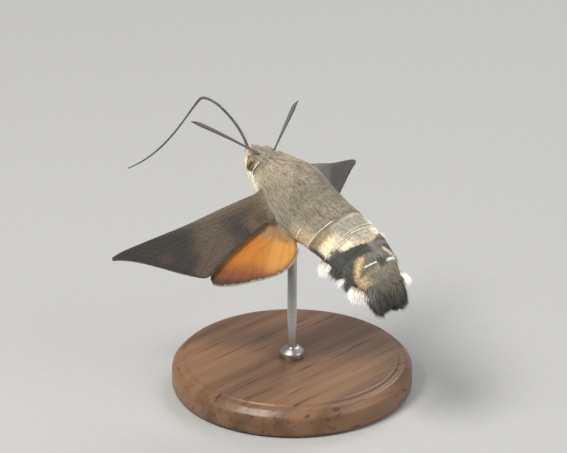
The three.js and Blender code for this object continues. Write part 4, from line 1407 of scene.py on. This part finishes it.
def make_lashes(word, side, finish):
    """White scales round the lower half of the eye, that lie a little way over its rim.

    A turn about the body's side gives each root, just outside the eye, and the tip lies further in
    on the same spoke, drawn tailwards and a little proud of the eye.
    """
    first, second = even_places(LASH_COUNT, 54)
    chance, ragged = draws(55 + side, LASH_COUNT)
    spoke = np.radians(blend(*LASH_SPOKES, first)) + 0.06 * ragged[0]
    wide = EYE_RADIUS * blend(*LASH_ROOTS, second)
    narrow = EYE_RADIUS * (blend(*LASH_TIPS, second) + 0.08 * ragged[1])
    height = EYE_CENTRE[2] + wide * np.sin(spoke)

    def at_side(x, lift):
        reach = np.where(height > 0, body_above(x), body_below(x))
        return body_point(x, np.arccos(np.clip(height / reach, -1, 1)), lift)

    root_at = at_side(EYE_CENTRE[0] + wide * np.cos(spoke), -0.2)
    bend_at = at_side(EYE_CENTRE[0] + wide * 0.92 * np.cos(spoke), 0.12 + 0.2 * chance)
    swell = EYE_RADIUS * EYE_FLATTENING * np.sqrt(np.maximum(1 - (narrow / EYE_RADIUS) ** 2, 0.05))
    tip_at = stacked(EYE_CENTRE[0] + narrow * np.cos(spoke) - 0.1,
                     EYE_CENTRE[1] + swell + 0.05 + 0.1 * chance,
                     EYE_CENTRE[2] + narrow * np.sin(spoke))
    outward = np.tile([0.0, 1.0, 0.0], (LASH_COUNT, 1))
    *curve, outward = (mirrored(part, side) for part in (root_at, bend_at, tip_at, outward))
    place = body_marks(root_at[:, 0], 112.0 * side)
    tufts(f"{word}_lashes", curve, outward, 0.06 + 0.03 * chance, (first, second), chance,
          finish, "coat", (place, place))


def make_fan(name, seed, fan, finishes):
    """Every scale runs from its place among the roots to the like place among the tips."""
    root, tip, root_spread, tip_spread, thickness, count, kind = (
        np.array(part) if isinstance(part, tuple) else part for part in fan
    )
    first, second = even_places(count, seed)
    along, across = first * 2 - 1, second * 2 - 1
    chance, ragged = draws(seed, count)
    side = np.sign(root[1])
    deep = stacked(0.0, -side * (0.25 + 0.3 * np.abs(across)), across * thickness)
    root_at = root + along[:, None] * root_spread + deep
    tip_at = tip + along[:, None] * tip_spread + across[:, None] * np.array([0, 0, thickness * 0.6])
    tip_at += ragged.T * np.array([0.28, 0.22, 0.16])
    reach = 0.66 + 0.42 * chance - 0.3 * along**2 - 0.1 * along
    tip_at = root_at + (tip_at - root_at) * reach[:, None]
    bend_at = blend(root_at, tip_at, 0.45) + np.array([0.1, side * 0.2, 0.14])
    outward = np.tile(unit(np.array([0.0, side * 0.5, 0.85])), (count, 1))
    tufts(name, (root_at, bend_at, tip_at), outward, 0.08 + 0.06 * chance,
          (along * 0.5 + 0.5, across * 0.5 + 0.5), chance, finishes[kind], FAN_SLOTS[kind])


def other_flank(fan):
    """The same fan on the right: places turned about the fans' mirror, spreads about zero."""
    *ends, root_spread, tip_spread, thickness, count, kind = fan
    ends = [(x, 2 * FAN_MIRROR_Y - y, z) for x, y, z in ends]
    spreads = [(x, -y, z) for x, y, z in (root_spread, tip_spread)]
    return (*ends, *spreads, thickness, count, kind)


def make_flank_fans(finishes):
    for number, (word, fan) in enumerate(FLANK_FANS.items()):
        make_fan(f"flank_fan_{word}_left", FAN_SEEDS["left"] + number, fan, finishes)
        right_fan = RIGHT_FANS.get(word, other_flank(fan))
        make_fan(f"flank_fan_{word}_right", FAN_SEEDS["right"] + number, right_fan, finishes)


def make_tail_brush(finish):
    """Long scales from the last ring, gathered in lobes that end at different lengths."""
    rng = np.random.default_rng(77)
    chance, ragged = draws(rng, BRUSH_SCALES)
    inner = np.sqrt(rng.uniform(0.05, 1, BRUSH_SCALES))
    first, second = even_places(BRUSH_SCALES, 78)
    off = (first * 2 - 1) * math.pi
    x = blend(*BRUSH_ROOT_X, second)
    across = np.sin(off) * inner * np.where(np.sin(off) < 0, 0.85, 1.0)
    lobe = 0.36 * np.cos((across + 0.3) * 5.2) + 0.2 * np.sin(across * 21 + 2.0 + np.cos(off))
    shorten = 0.8 * across**2 + 2.2 * chance**2 + 0.5 * smoothstep(-np.cos(off), 0, 0.6)
    root_at = body_point(x, off, -0.55 + relief(x, off))
    tip_at = stacked(BRUSH_END_X - lobe + shorten + 0.24 * ragged[0],
                     BRUSH_END_Y + BRUSH_HALF_WIDTH * across + 0.17 * ragged[1],
                     spine_up(x) - 0.1 + BRUSH_HALF_DEPTH * np.cos(off) * inner + 0.13 * ragged[2])
    swell = 0.25 * (1 - np.abs(across) * 0.4) + 0.25 * smoothstep(across, 0.2, 0.9) + 0.12 * ragged[1]
    bend_at = blend(root_at, tip_at, 0.5) + stacked(0.0, np.sin(off) * swell, np.cos(off) * swell)
    tufts("tail_brush_scales", (root_at, bend_at, tip_at), body_outward(x, off), 0.13 + 0.07 * chance,
          (second, first), chance, finish, "dark_brush", shape=LONG_TUFT, replaced=("tail_brush",))


def make_eye(word, side, finish):
    """An ellipsoid, a little flattened against the head."""
    tilt = np.linspace(0, math.pi, EYE_RINGS)[1:-1, None]
    spin = full_turn(EYE_SIDES)
    ball = stacked(np.sin(tilt) * np.cos(spin), np.sin(tilt) * np.sin(spin), np.cos(tilt))
    size = EYE_RADIUS * np.array([1, EYE_FLATTENING, 1])
    centre = mirrored(EYE_CENTRE, side)
    parts = [part * size + centre for part in (ball, UPRIGHT, -UPRIGHT)]
    marks = {"place": ring_marks(*(part - centre for part in parts))}
    tube_piece(f"{word}_eye", parts[0], parts[1:], marks, finish, "eye", (f"eye_{word}",))


def make_antenna(word, side, finish):
    """A club: thin at its root, thickest near the end, with a small hooked point."""
    t = np.linspace(0, 1, ANTENNA_ROWS)
    base, tip, bow = ANTENNAE[side]
    middle = blend(base, tip, 0.5) + UPRIGHT * bow
    path = bezier([base - unit(tip - base) * ANTENNA_SUNK, middle, tip], ANTENNA_ROWS)
    path += smoothstep(t, 0.9, 1.0)[:, None] * mirrored(ANTENNA_HOOK, side)
    swelling = 1 + ANTENNA_RIPPLE * np.cos(2 * math.pi * ANTENNA_JOINTS * t)
    radius = smooth_through(ANTENNA_RADIUS)(t) * swelling
    rings = along_path(path, radius, ANTENNA_SIDES, UPRIGHT, ANTENNA_GROOVE)
    marks = {"place": tube_marks(ANTENNA_ROWS, ANTENNA_SIDES, ANTENNA_JOINTS)}
    tube_piece(f"{word}_antenna", rings, path[[0, -1]], marks, finish, "feeler", (f"antenna_{word}",))


def make_tongue(finish):
    """The two halves of the tongue side by side: one tube with a groove above and below."""
    rise_steps, elbow_steps, fall_steps = TONGUE_STEPS
    before, after = ELBOW_REACH
    rise_to = bezier([MOUTH, *TONGUE_RISE, ELBOW], rise_steps)
    fall_to = bezier([ELBOW + ELBOW_STEP, *TONGUE_FALL, TONGUE_TIP], fall_steps)
    corner = bezier([rise_to[-before], ELBOW + ELBOW_STEP * ELBOW_BULGE, fall_to[after]], elbow_steps)
    path = np.concatenate([rise_to[:-before], corner, fall_to[after + 1:]])
    travelled = np.append(0, np.cumsum(np.linalg.norm(np.diff(path, axis=0), axis=1)))
    at = np.linspace(0, travelled[-1], TONGUE_ROWS)
    path = stacked(*(np.interp(at, travelled, path[:, axis]) for axis in range(3)))
    t = np.linspace(0, 1, TONGUE_ROWS)
    radius = smooth_through(TONGUE_RADIUS)(t) * (1 + TONGUE_RIPPLE * np.cos(2 * math.pi * TONGUE_RINGS * t))
    rings = along_path(path, radius, TONGUE_SIDES, np.array([0.0, 1.0, 0.0]), TONGUE_GROOVE)
    marks = {"place": tube_marks(TONGUE_ROWS, TONGUE_SIDES, TONGUE_RINGS)}
    lengths = ("proboscis_upper", "proboscis_lower")
    tube_piece("tongue", rings, path[[0, -1]], marks, finish, "feeler", lengths)


def make_palp(word, side, skin, scales):
    """An upturned ellipsoid under short scales that point to its tip."""
    tilt = turn("y", -PALP_TILT)
    centre = mirrored(PALP_CENTRE, side)

    def palp_point(t, spin, margin):
        size = PALP_SIZE - PALP_COAT + np.asarray(margin)[..., None]
        radius = np.sin(math.pi * t) * (1 + 0.12 * np.cos(math.pi * t))
        ball = stacked(-np.cos(math.pi * t), radius * np.cos(spin), radius * np.sin(spin))
        return (ball * size) @ tilt.T + centre

    t, spin = np.meshgrid(np.linspace(0, 1, PALP_SIDES + 2)[1:-1], full_turn(PALP_SIDES), indexing="ij")
    ends = palp_point(np.array([0.0, 1.0]), np.zeros(2), 0.0)
    tube_piece(f"{word}_palp", palp_point(t, spin, 0.0), ends, None, skin, "pale_coat", (f"palp_{word}",))

    first, second = even_places(PALP_SCALES, 45)
    chance, _ = draws(46 + side, PALP_SCALES, 0)
    t = np.arccos(1 - 2 * (first * 0.94 + 0.03)) / math.pi
    spin = second * 2 * math.pi
    reach = 0.13 + 0.08 * chance
    root_at = palp_point(t, spin, -0.05)
    bend_at = palp_point(np.minimum(t + reach * 0.45, 1.0), spin, 0.08)
    tip_at = palp_point(np.minimum(t + reach, 1.0), spin, 0.06 + 0.06 * chance)
    tip_at += np.maximum(t + reach - 1.0, 0)[:, None] * (tilt @ np.array([1.0, 0, 0]))
    outward = unit(palp_point(t, spin, 0.5) - palp_point(t, spin, 0.0))
    place = stacked(chance, -np.sin(spin), 0.0)
    tufts(f"{word}_palp_scales", (root_at, bend_at, tip_at), outward, 0.06 + 0.02 * chance, (first, second),
          chance, scales, "pale_coat", (place, place))


def leg_path(stations, side):
    """A smooth path at a small distance from the underside."""
    stations = np.array(stations)
    along = np.linspace(0, 1, len(stations))
    t = np.linspace(0, 1, LEG_ROWS)
    x, below = (smooth_through(zip(along, stations[:, column]))(t) for column in (0, 1))
    lift = LEG_STAND_OFF - LEG_SUNK * (1 - smoothstep(t, 0.0, LEG_RISE))
    return body_point(x, np.radians(90 + below) * side, lift)


def leg_hooks(path):
    """Centre lines and end radii of two claws past the end of a leg, and of two spurs on its shin."""
    forward = unit(path[-1] - path[-12])
    across = unit(np.cross(forward, UPRIGHT))
    shin_end = path[int(LEG_ROWS * FOOT_START[0])]
    shin_forward = unit(path[SHIN_ROWS[1]] - path[SHIN_ROWS[0]])
    for hook in (-1, 1):
        claw = [path[-3], path[-1] + forward * 0.16 + across * 0.1 * hook,
                path[-1] + forward * 0.2 + across * 0.12 * hook - UPRIGHT * 0.14]
        spur = [shin_end, shin_end + shin_forward * 0.35 + across * 0.16 * hook,
                shin_end + shin_forward * 0.75 + across * 0.2 * hook]
        yield bezier(claw, HOOK_ROWS), CLAW_RADII
        yield bezier(spur, HOOK_ROWS), SPUR_RADII


def make_leg(pair, word, side, finish, scales):
    """Thigh, shin and five-jointed foot along one path, with a pair of spurs and two claws."""
    t = np.linspace(0, 1, LEG_ROWS)
    path = leg_path(LEG_PATHS[pair], side)
    knuckles = smoothstep(t, *FOOT_START) * np.abs(np.cos(math.pi * FOOT_JOINTS * t))
    radius = smooth_through(LEG_RADIUS)(t) * (1 + KNUCKLE_SWELL * knuckles)
    points, faces = closed_tube(along_path(path, radius, LEG_SIDES, UPRIGHT), path[0], path[-1])
    marks = tube_marks(LEG_ROWS, LEG_SIDES, FOOT_JOINTS)
    for line, radii in leg_hooks(path):
        rings = along_path(line, np.linspace(*radii, HOOK_ROWS), HOOK_SIDES, UPRIGHT)
        more_points, more_faces = closed_tube(rings, line[0], line[-1])
        faces = faces + [part + len(points) for part in more_faces]
        points = np.concatenate([points, more_points])
        marks = np.concatenate([marks, np.tile([0.98, 0.5, 0.3], (len(more_points), 1))])
    name = f"{pair}_leg_{word}"
    mesh_piece(name, placed(points), faces, finish, "leg", (f"leg_{pair}_{word}",), {"place": marks})

    first, second = even_places(LEG_SCALES, 51)
    chance, _ = draws(52 + side, LEG_SCALES, 0)
    at = first * 0.6 + 0.02
    spin = second * 2 * math.pi

    def leg_point(t_at, margin):
        centre, heading = (stacked(*(np.interp(t_at, t, line[:, axis]) for axis in range(3)))
                           for line in (path, np.gradient(path, axis=0)))
        aside = unit(np.cross(unit(heading), UPRIGHT))
        round_it = aside * np.cos(spin)[:, None] + np.cross(aside, unit(heading)) * np.sin(spin)[:, None]
        return centre + round_it * (np.interp(t_at, t, radius) + margin)[:, None], round_it

    root_at, outward = leg_point(at, -0.03)
    tip_at, _ = leg_point(np.minimum(at + 0.055 + 0.03 * chance, 1), 0.05 + 0.09 * chance)
    bend_at, _ = leg_point(at + 0.02, 0.05)
    tufts(f"{name}_scales", (root_at, bend_at, tip_at), outward, 0.055 + 0.02 * chance, (first, second),
          chance, scales, "leg")


# Wings.

def wing_axes(side, span):
    """Directions out along the leading edge, back across the wing and up from it, at each span."""
    pose = WING_POSE[side]
    sweep, depression = math.radians(pose["sweep"]), math.radians(pose["depression"])
    twist = np.radians(blend(*pose["twist"], smoothstep(span, 0, TWISTED_SPAN)))[..., None]
    cos_s, sin_s = math.cos(sweep), math.sin(sweep)
    cos_d, sin_d = math.cos(depression), math.sin(depression)
    out = np.array([sin_s, cos_s * cos_d * side, -cos_s * sin_d])
    flat_back = np.array([-cos_s, sin_s * cos_d * side, -sin_s * sin_d])
    flat_up = np.array([0.0, sin_d * side, cos_d])
    back = flat_back * np.cos(twist) - flat_up * np.sin(twist)
    up = flat_up * np.cos(twist) + flat_back * np.sin(twist)
    return out, back, up


def wing_point(side, span, depth, lift):
    """Root plus span out, depth back and height up; the height arches across and droops outwards."""
    out, back, up = wing_axes(side, span)
    arch = WING_ARCH * np.sin(math.pi * np.clip(depth / ARCH_DEPTH, 0, 1))
    height = lift + arch - TIP_DROOP * span**2
    span, depth, height = (part[..., None] for part in (span, depth, height))
    return mirrored(WING_ROOT, side) + out * span + back * depth + up * height


class WingShape:
    """One wing's flat outline, its veins and its place."""

    def __init__(self, side, lead, trail, veins, tuck, lift):
        self.side = side
        self.lead = smooth_through(lead)
        self.trail = smooth_through(trail)
        self.root_span, self.tip_span = lead[0][0], lead[-1][0]
        self.veins = veins
        self.tuck = math.radians(tuck)
        self.lift = lift

    def point(self, span, depth, height):
        """The flat wing turned about its pivot by the tuck, then set in its place."""
        ds, dd = span - HINDWING_PIVOT[0], depth - HINDWING_PIVOT[1]
        turned_span = HINDWING_PIVOT[0] + ds * math.cos(self.tuck) + dd * math.sin(self.tuck)
        turned_depth = HINDWING_PIVOT[1] - ds * math.sin(self.tuck) + dd * math.cos(self.tuck)
        return wing_point(self.side, turned_span, turned_depth, height + self.lift)

    def vein(self, span, depth):
        """1 on a vein: each is a bowed line, and the distance from it is taken square to it."""
        ridge = np.zeros(span.shape)
        for (span_a, depth_a), (span_b, depth_b), bow in self.veins:
            t = (span - span_a) / (span_b - span_a)
            line = blend(depth_a, depth_b, t) + bow * 4 * t * (1 - t)
            slope = ((depth_b - depth_a) + bow * 4 * (1 - 2 * t)) / (span_b - span_a)
            distance = (depth - line) / np.sqrt(1 + slope**2)
            inside = smoothstep(t, -0.02, 0.0) * (1 - smoothstep(t, 1.0, 1.02))
            ridge = np.maximum(ridge, hill(distance, 0, VEIN_WIDTH) * inside)
        return ridge

    def trail_slope(self, span):
        return (self.trail(span + 0.05) - self.trail(span - 0.05)) / 0.1

    def edge(self, span, depth):
        """Distance from the trailing edge, in mm, square to it."""
        across = (self.trail(span) - depth) / np.sqrt(1 + self.trail_slope(span)**2)
        return np.minimum(across, (self.tip_span - span) * 1.2 + 0.1)

    def marks(self, span, depth):
        return stacked(span, depth, self.edge(span, depth))


def wing_unwrap(span, depth):
    """A wing tuft's place in the bake: its place on the flat wing, scaled to the unit square."""
    return span / WING_SHEET[0] + WING_SHEET_START, depth / WING_SHEET[1]


def make_wing(name, shape, finish, slot, replaced):
    """A closed sheet: the upper face from front to rear, then the under face back again."""
    t = np.linspace(0, 1, WING_ROWS)
    span_line = blend(shape.root_span, shape.tip_span, np.sin(t * math.pi / 2) * 0.35 + t * 0.65)
    share = (1 - np.cos(np.linspace(0, math.pi, WING_COLUMNS))) / 2
    share = np.concatenate([share, share[::-1]])
    face = np.repeat([1.0, -1.0], WING_COLUMNS)
    span = np.repeat(span_line[:, None], 2 * WING_COLUMNS, axis=1)
    depth = blend(shape.lead(span), shape.trail(span), share[None, :])
    ridge = shape.vein(span, depth)
    ruffle = 0.05 * np.sin(span * 1.7 + depth * 0.8) * smoothstep(share, 0.3, 1.0)[None, :]
    thick = 0.02 + 0.05 * np.sqrt(share * (1 - share) * 4) * (1.2 - 0.5 * share)
    rings = shape.point(span, depth, face * thick + ridge * VEIN_HEIGHT * (0.35 + 0.65 * face) + ruffle)
    flat = shape.marks(span, depth)
    marks = {
        "flat": ring_marks(flat, flat[0, 0], flat[-1, 0]),
        "wing": ring_marks(stacked(ridge, (face + 1) / 2, 0.0), (0, 0.5, 0), (0, 0.5, 0)),
    }
    tube_piece(name, rings, rings[[0, -1]].mean(axis=1), marks, finish, slot, replaced)


def make_fringe(name, shape, first_span, reach, count, seed, finish, slot):
    """Scales that stand out from the trailing edge, square to it and in the wing's plane."""
    chance, ragged = draws(seed, count, 2)
    fine = np.linspace(first_span, shape.tip_span, 400)
    travelled = np.append(0, np.cumsum(np.hypot(np.diff(fine), np.diff(shape.trail(fine)))))
    span = np.interp(np.linspace(0, travelled[-1], count), travelled, fine)
    depth = shape.trail(span)
    heading = unit(stacked(0.12 * ragged[0] + 0.25 - shape.trail_slope(span), 1.0))
    inset = stacked(span, depth) - heading * FRINGE_ROOT
    far = inset + heading * (reach * (0.75 + 0.35 * chance) + FRINGE_ROOT)[:, None]
    lift = 0.02 * ragged[1]
    root_at = shape.point(*inset.T, lift)
    tip_at = shape.point(*far.T, lift * 2)
    tufts(name, (root_at, blend(root_at, tip_at, 0.5), tip_at), wing_axes(shape.side, span)[2],
          0.11 + 0.05 * chance, wing_unwrap(span, inset[:, 1]), chance, finish, slot)


def make_wing_hair(name, shape, spans, depths, count, seed, finish, slot):
    """Hair on the upper face, thick at the root and sparse further out, combed along the wing."""
    first, second = even_places(count, seed)
    chance, ragged = draws(seed, count, 1)
    lean = 0.12 * ragged[0]
    span = blend(*spans, first**1.9)
    depth = blend(*depths, second)
    near = (spans[1] - span) / (spans[1] - spans[0])
    inside = (depth > shape.lead(span) + 0.1) & (depth < shape.trail(span) - 0.3)
    heading = unit(stacked(0.9, 0.1 + (depth - depths[0]) * 0.13 + lean))
    length = (0.9 + 0.7 * chance) * (0.6 + 0.4 * near)
    far_span, far_depth = span + heading[:, 0] * length, depth + heading[:, 1] * length
    root_at = shape.point(span, depth, -0.02)
    bend_at = shape.point(blend(span, far_span, 0.4), blend(depth, far_depth, 0.4),
                          0.07 + 0.08 * chance * near)
    tip_at = shape.point(far_span, far_depth, 0.05 + 0.06 * chance * near)
    tufts(name, (root_at, bend_at, tip_at), wing_axes(shape.side, span)[2], 0.06 + 0.02 * chance,
          wing_unwrap(span, depth), chance, finish, slot,
          (shape.marks(span, depth), shape.marks(far_span, far_depth)), inside)


def make_root_hair(word, side, shape, finish):
    """Hair of the thorax's side that reaches out over the root of the forewing.

    Its roots stand in a band above the line where wing and body meet, and its tips lie on the wing
    straight out from them.
    """
    first, second = even_places(ROOT_HAIR_COUNT, 86)
    chance, ragged = draws(87 + side, ROOT_HAIR_COUNT, 2)
    x = blend(*ROOT_HAIR_X, first)
    off = np.radians(blend(*ROOT_HAIR_LINE, first) - ROOT_HAIR_BAND * second) * side
    back = wing_axes(side, np.zeros(1))[1][0]
    span = 0.1 + 1.0 * chance**2 + 0.1 * ragged[0]
    depth = np.maximum((x - WING_ROOT[0]) / back[0] + 0.3 + 0.25 * ragged[1], 0.1)
    outward = body_outward(x, off)
    root_at = body_point(x, off, -0.25)
    tip_at = shape.point(span, depth, 0.05 + 0.05 * chance)
    bend_at = blend(root_at, tip_at, 0.5) + outward * (0.12 + 0.1 * second)[:, None]
    places = [stacked(at_span, depth, shape.edge(span, depth)) for at_span in (ROOT_HAIR_START, span)]
    tufts(f"{word}_wing_root_hair", (root_at, bend_at, tip_at), outward, 0.08 + 0.04 * chance,
          (first, second), chance, finish, "coat", places)


def make_wings():
    scales = {
        "forewing": wing_finish("forewing_scales", forewing_colour, forewing_under_colour, 2.2),
        "hindwing": wing_finish("hindwing_scales", hindwing_colour, hindwing_under_colour, 0.5),
    }
    fringes = {
        "forewing": fringe_finish("brown_fringe", FORE_DARK, FRINGE_BROWN),
        "hindwing": fringe_finish("pale_fringe", FRINGE_BROWN, FRINGE_PALE),
    }
    hair = {
        "forewing": wing_hair_finish("forewing_hair", WING_ROOT_TAN, forewing_colour),
        "hindwing": wing_hair_finish("hindwing_hair", HIND_ROOT_TAN, hindwing_colour),
    }
    for word, side in SIDES.items():
        tuck = WING_POSE[side]["tuck"]
        shapes = {
            "forewing": WingShape(side, FOREWING_LEAD, FOREWING_TRAIL, FOREWING_VEINS, 0, 0.0),
            "hindwing": WingShape(side, HINDWING_LEAD, HINDWING_TRAIL, HINDWING_VEINS, tuck, -HINDWING_DROP),
        }
        make_root_hair(word, side, shapes["forewing"], hair["forewing"])
        for wing, shape in shapes.items():
            make_wing(f"{word}_{wing}", shape, scales[wing], wing, (f"{wing}_{word}",))
        for wing, shape in shapes.items():
            make_fringe(f"{word}_{wing}_fringe", shape, *WING_FRINGES[wing], fringes[wing], wing)
        for wing, shape in shapes.items():
            make_wing_hair(f"{word}_{wing}_hair", shape, *WING_HAIR[wing], hair[wing], wing)


# Stand.

def rounded(profile, corner):
    """A profile with each inner corner replaced by a small quarter bend."""
    profile = np.array(profile, dtype=float)
    line = [profile[:1]]
    for before, here, after in zip(profile[:-2], profile[1:-1], profile[2:]):
        reach = min(corner, np.linalg.norm(before - here) * 0.45, np.linalg.norm(after - here) * 0.45)
        line.append(bezier([here + unit(before - here) * reach, here, here + unit(after - here) * reach],
                           BEND_STEPS))
    line.append(profile[-1:])
    return np.concatenate(line)


def make_stand():
    """Turned pieces: a disc of wood with a stepped top, and a rod in a small collar."""
    step_base = BASE_HEIGHT - BASE_STEP_HEIGHT
    disc = rounded([
        (ROD_RADIUS, 0.0), (BASE_RADIUS - BASE_CHAMFER / 2, 0.0), (BASE_RADIUS, BASE_CHAMFER / 2),
        (BASE_RADIUS, step_base - BASE_CHAMFER), (BASE_RADIUS - BASE_CHAMFER, step_base),
        (BASE_STEP_RADIUS, step_base), (BASE_STEP_RADIUS - BASE_STEP_HEIGHT, BASE_HEIGHT),
        (ROD_RADIUS, BASE_HEIGHT),
    ], BASE_BEND)
    turned_piece("base_disc", disc, BASE_SIDES, walnut_finish(), "base_wood", ("stand_base",))

    collar_top = BASE_HEIGHT + COLLAR_HEIGHT
    rod = rounded([
        (COLLAR_RADIUS, BASE_HEIGHT - COLLAR_SUNK), (COLLAR_RADIUS, BASE_HEIGHT + COLLAR_HEIGHT * 0.6),
        (ROD_RADIUS + 0.25, collar_top), (ROD_RADIUS, collar_top),
        (ROD_RADIUS, THORAX_HEIGHT - ROD_RADIUS),
    ], ROD_BEND)
    turned_piece("rod_and_collar", rod, ROD_SIDES, steel_finish(), "rod_steel", ("stand_rod",))


# Surroundings.

def camera_axes():
    azimuth, elevation = CAMERA_AZIMUTH, CAMERA_ELEVATION
    back = np.array([math.sin(azimuth) * math.cos(elevation), -math.cos(azimuth) * math.cos(elevation),
                     math.sin(elevation)])
    right = np.array([math.cos(azimuth), math.sin(azimuth), 0.0])
    return back, right, np.cross(back, right)


def aimed_object(name, data, place, backwards):
    """A camera or light at a place in mm, looking the way opposite to `backwards`."""
    thing = bpy.data.objects.new(name, data)
    bpy.context.collection.objects.link(thing)
    thing.location = Vector(place * MM)
    thing.rotation_euler = Vector(-backwards).to_track_quat("-Z", "Y").to_euler()
    return thing


def make_camera():
    back, right, up = camera_axes()
    data = bpy.data.cameras.new("camera")
    data.sensor_width = SENSOR_WIDTH
    data.lens = SENSOR_WIDTH * CAMERA_DISTANCE / VIEW_WIDTH
    data.clip_start, data.clip_end = CAMERA_CLIP
    place = MOTH_PLACE + right * AIM_RIGHT + up * AIM_UP + back * CAMERA_DISTANCE
    bpy.context.scene.camera = aimed_object("camera", data, place, back)


def make_lights():
    """Square soft lights that look at the moth, under a dim even sky."""
    back, right, _ = camera_axes()
    for name, (shares, distance, size, power, colour) in LIGHTS.items():
        data = bpy.data.lights.new(name, "AREA")
        data.shape = "SQUARE"
        data.size = size * MM
        data.energy = power
        data.color = colour
        direction = sum(axis * share for axis, share in zip((back, right, UPRIGHT), shares))
        aimed_object(name, data, MOTH_PLACE + unit(direction) * distance, direction)
    world = bpy.data.worlds.new("studio")
    world.use_nodes = True
    sky = world.node_tree.nodes["Background"]
    sky.inputs["Color"].default_value = SKY_COLOUR
    sky.inputs["Strength"].default_value = SKY_STRENGTH
    bpy.context.scene.world = world
    bpy.context.scene.view_settings.view_transform = "Standard"


def make_floor():
    """A pale disc far larger than the view, just under the stand."""
    angle = full_turn(FLOOR_SIDES)
    points = stacked(FLOOR_RADIUS * np.cos(angle), FLOOR_RADIUS * np.sin(angle), -FLOOR_DROP)
    mesh_piece("floor", points, [np.arange(FLOOR_SIDES)[None, :]], floor_finish(), None)


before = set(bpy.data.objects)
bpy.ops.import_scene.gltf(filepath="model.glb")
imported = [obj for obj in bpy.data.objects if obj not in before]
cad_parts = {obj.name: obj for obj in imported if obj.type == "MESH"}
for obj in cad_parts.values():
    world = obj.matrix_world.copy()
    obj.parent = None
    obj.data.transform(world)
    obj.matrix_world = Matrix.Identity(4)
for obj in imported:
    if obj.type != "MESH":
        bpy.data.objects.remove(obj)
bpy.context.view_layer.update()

fur = coat_finish()
make_skin(skin_finish())
for name, piece in COAT_PIECES.items():
    coat(name, *piece, fur)
make_forelock(fur)
make_scale_rows({colour: plain_tuft_finish(f"{colour}_rows") for colour in ("cream", "white", "dark")})
make_flank_fans({"white": fan_finish(), "black": plain_tuft_finish("black_fans")})
make_tail_brush(brush_finish())
eye_look, feeler_look = eye_finish(), feeler_finish()
palp_skin, palp_scales = palp_skin_finish(), palp_scales_finish()
leg_look, leg_scales = leg_finish(), plain_tuft_finish("leg_tufts")
for word, side in SIDES.items():
    make_eye(word, side, eye_look)
    make_lashes(word, side, fur)
    make_antenna(word, side, feeler_look)
    make_palp(word, side, palp_skin, palp_scales)
    for pair in LEG_PATHS:
        make_leg(pair, word, side, leg_look, leg_scales)
make_tongue(tongue_finish())
make_wings()
make_stand()
make_floor()
make_camera()
make_lights()
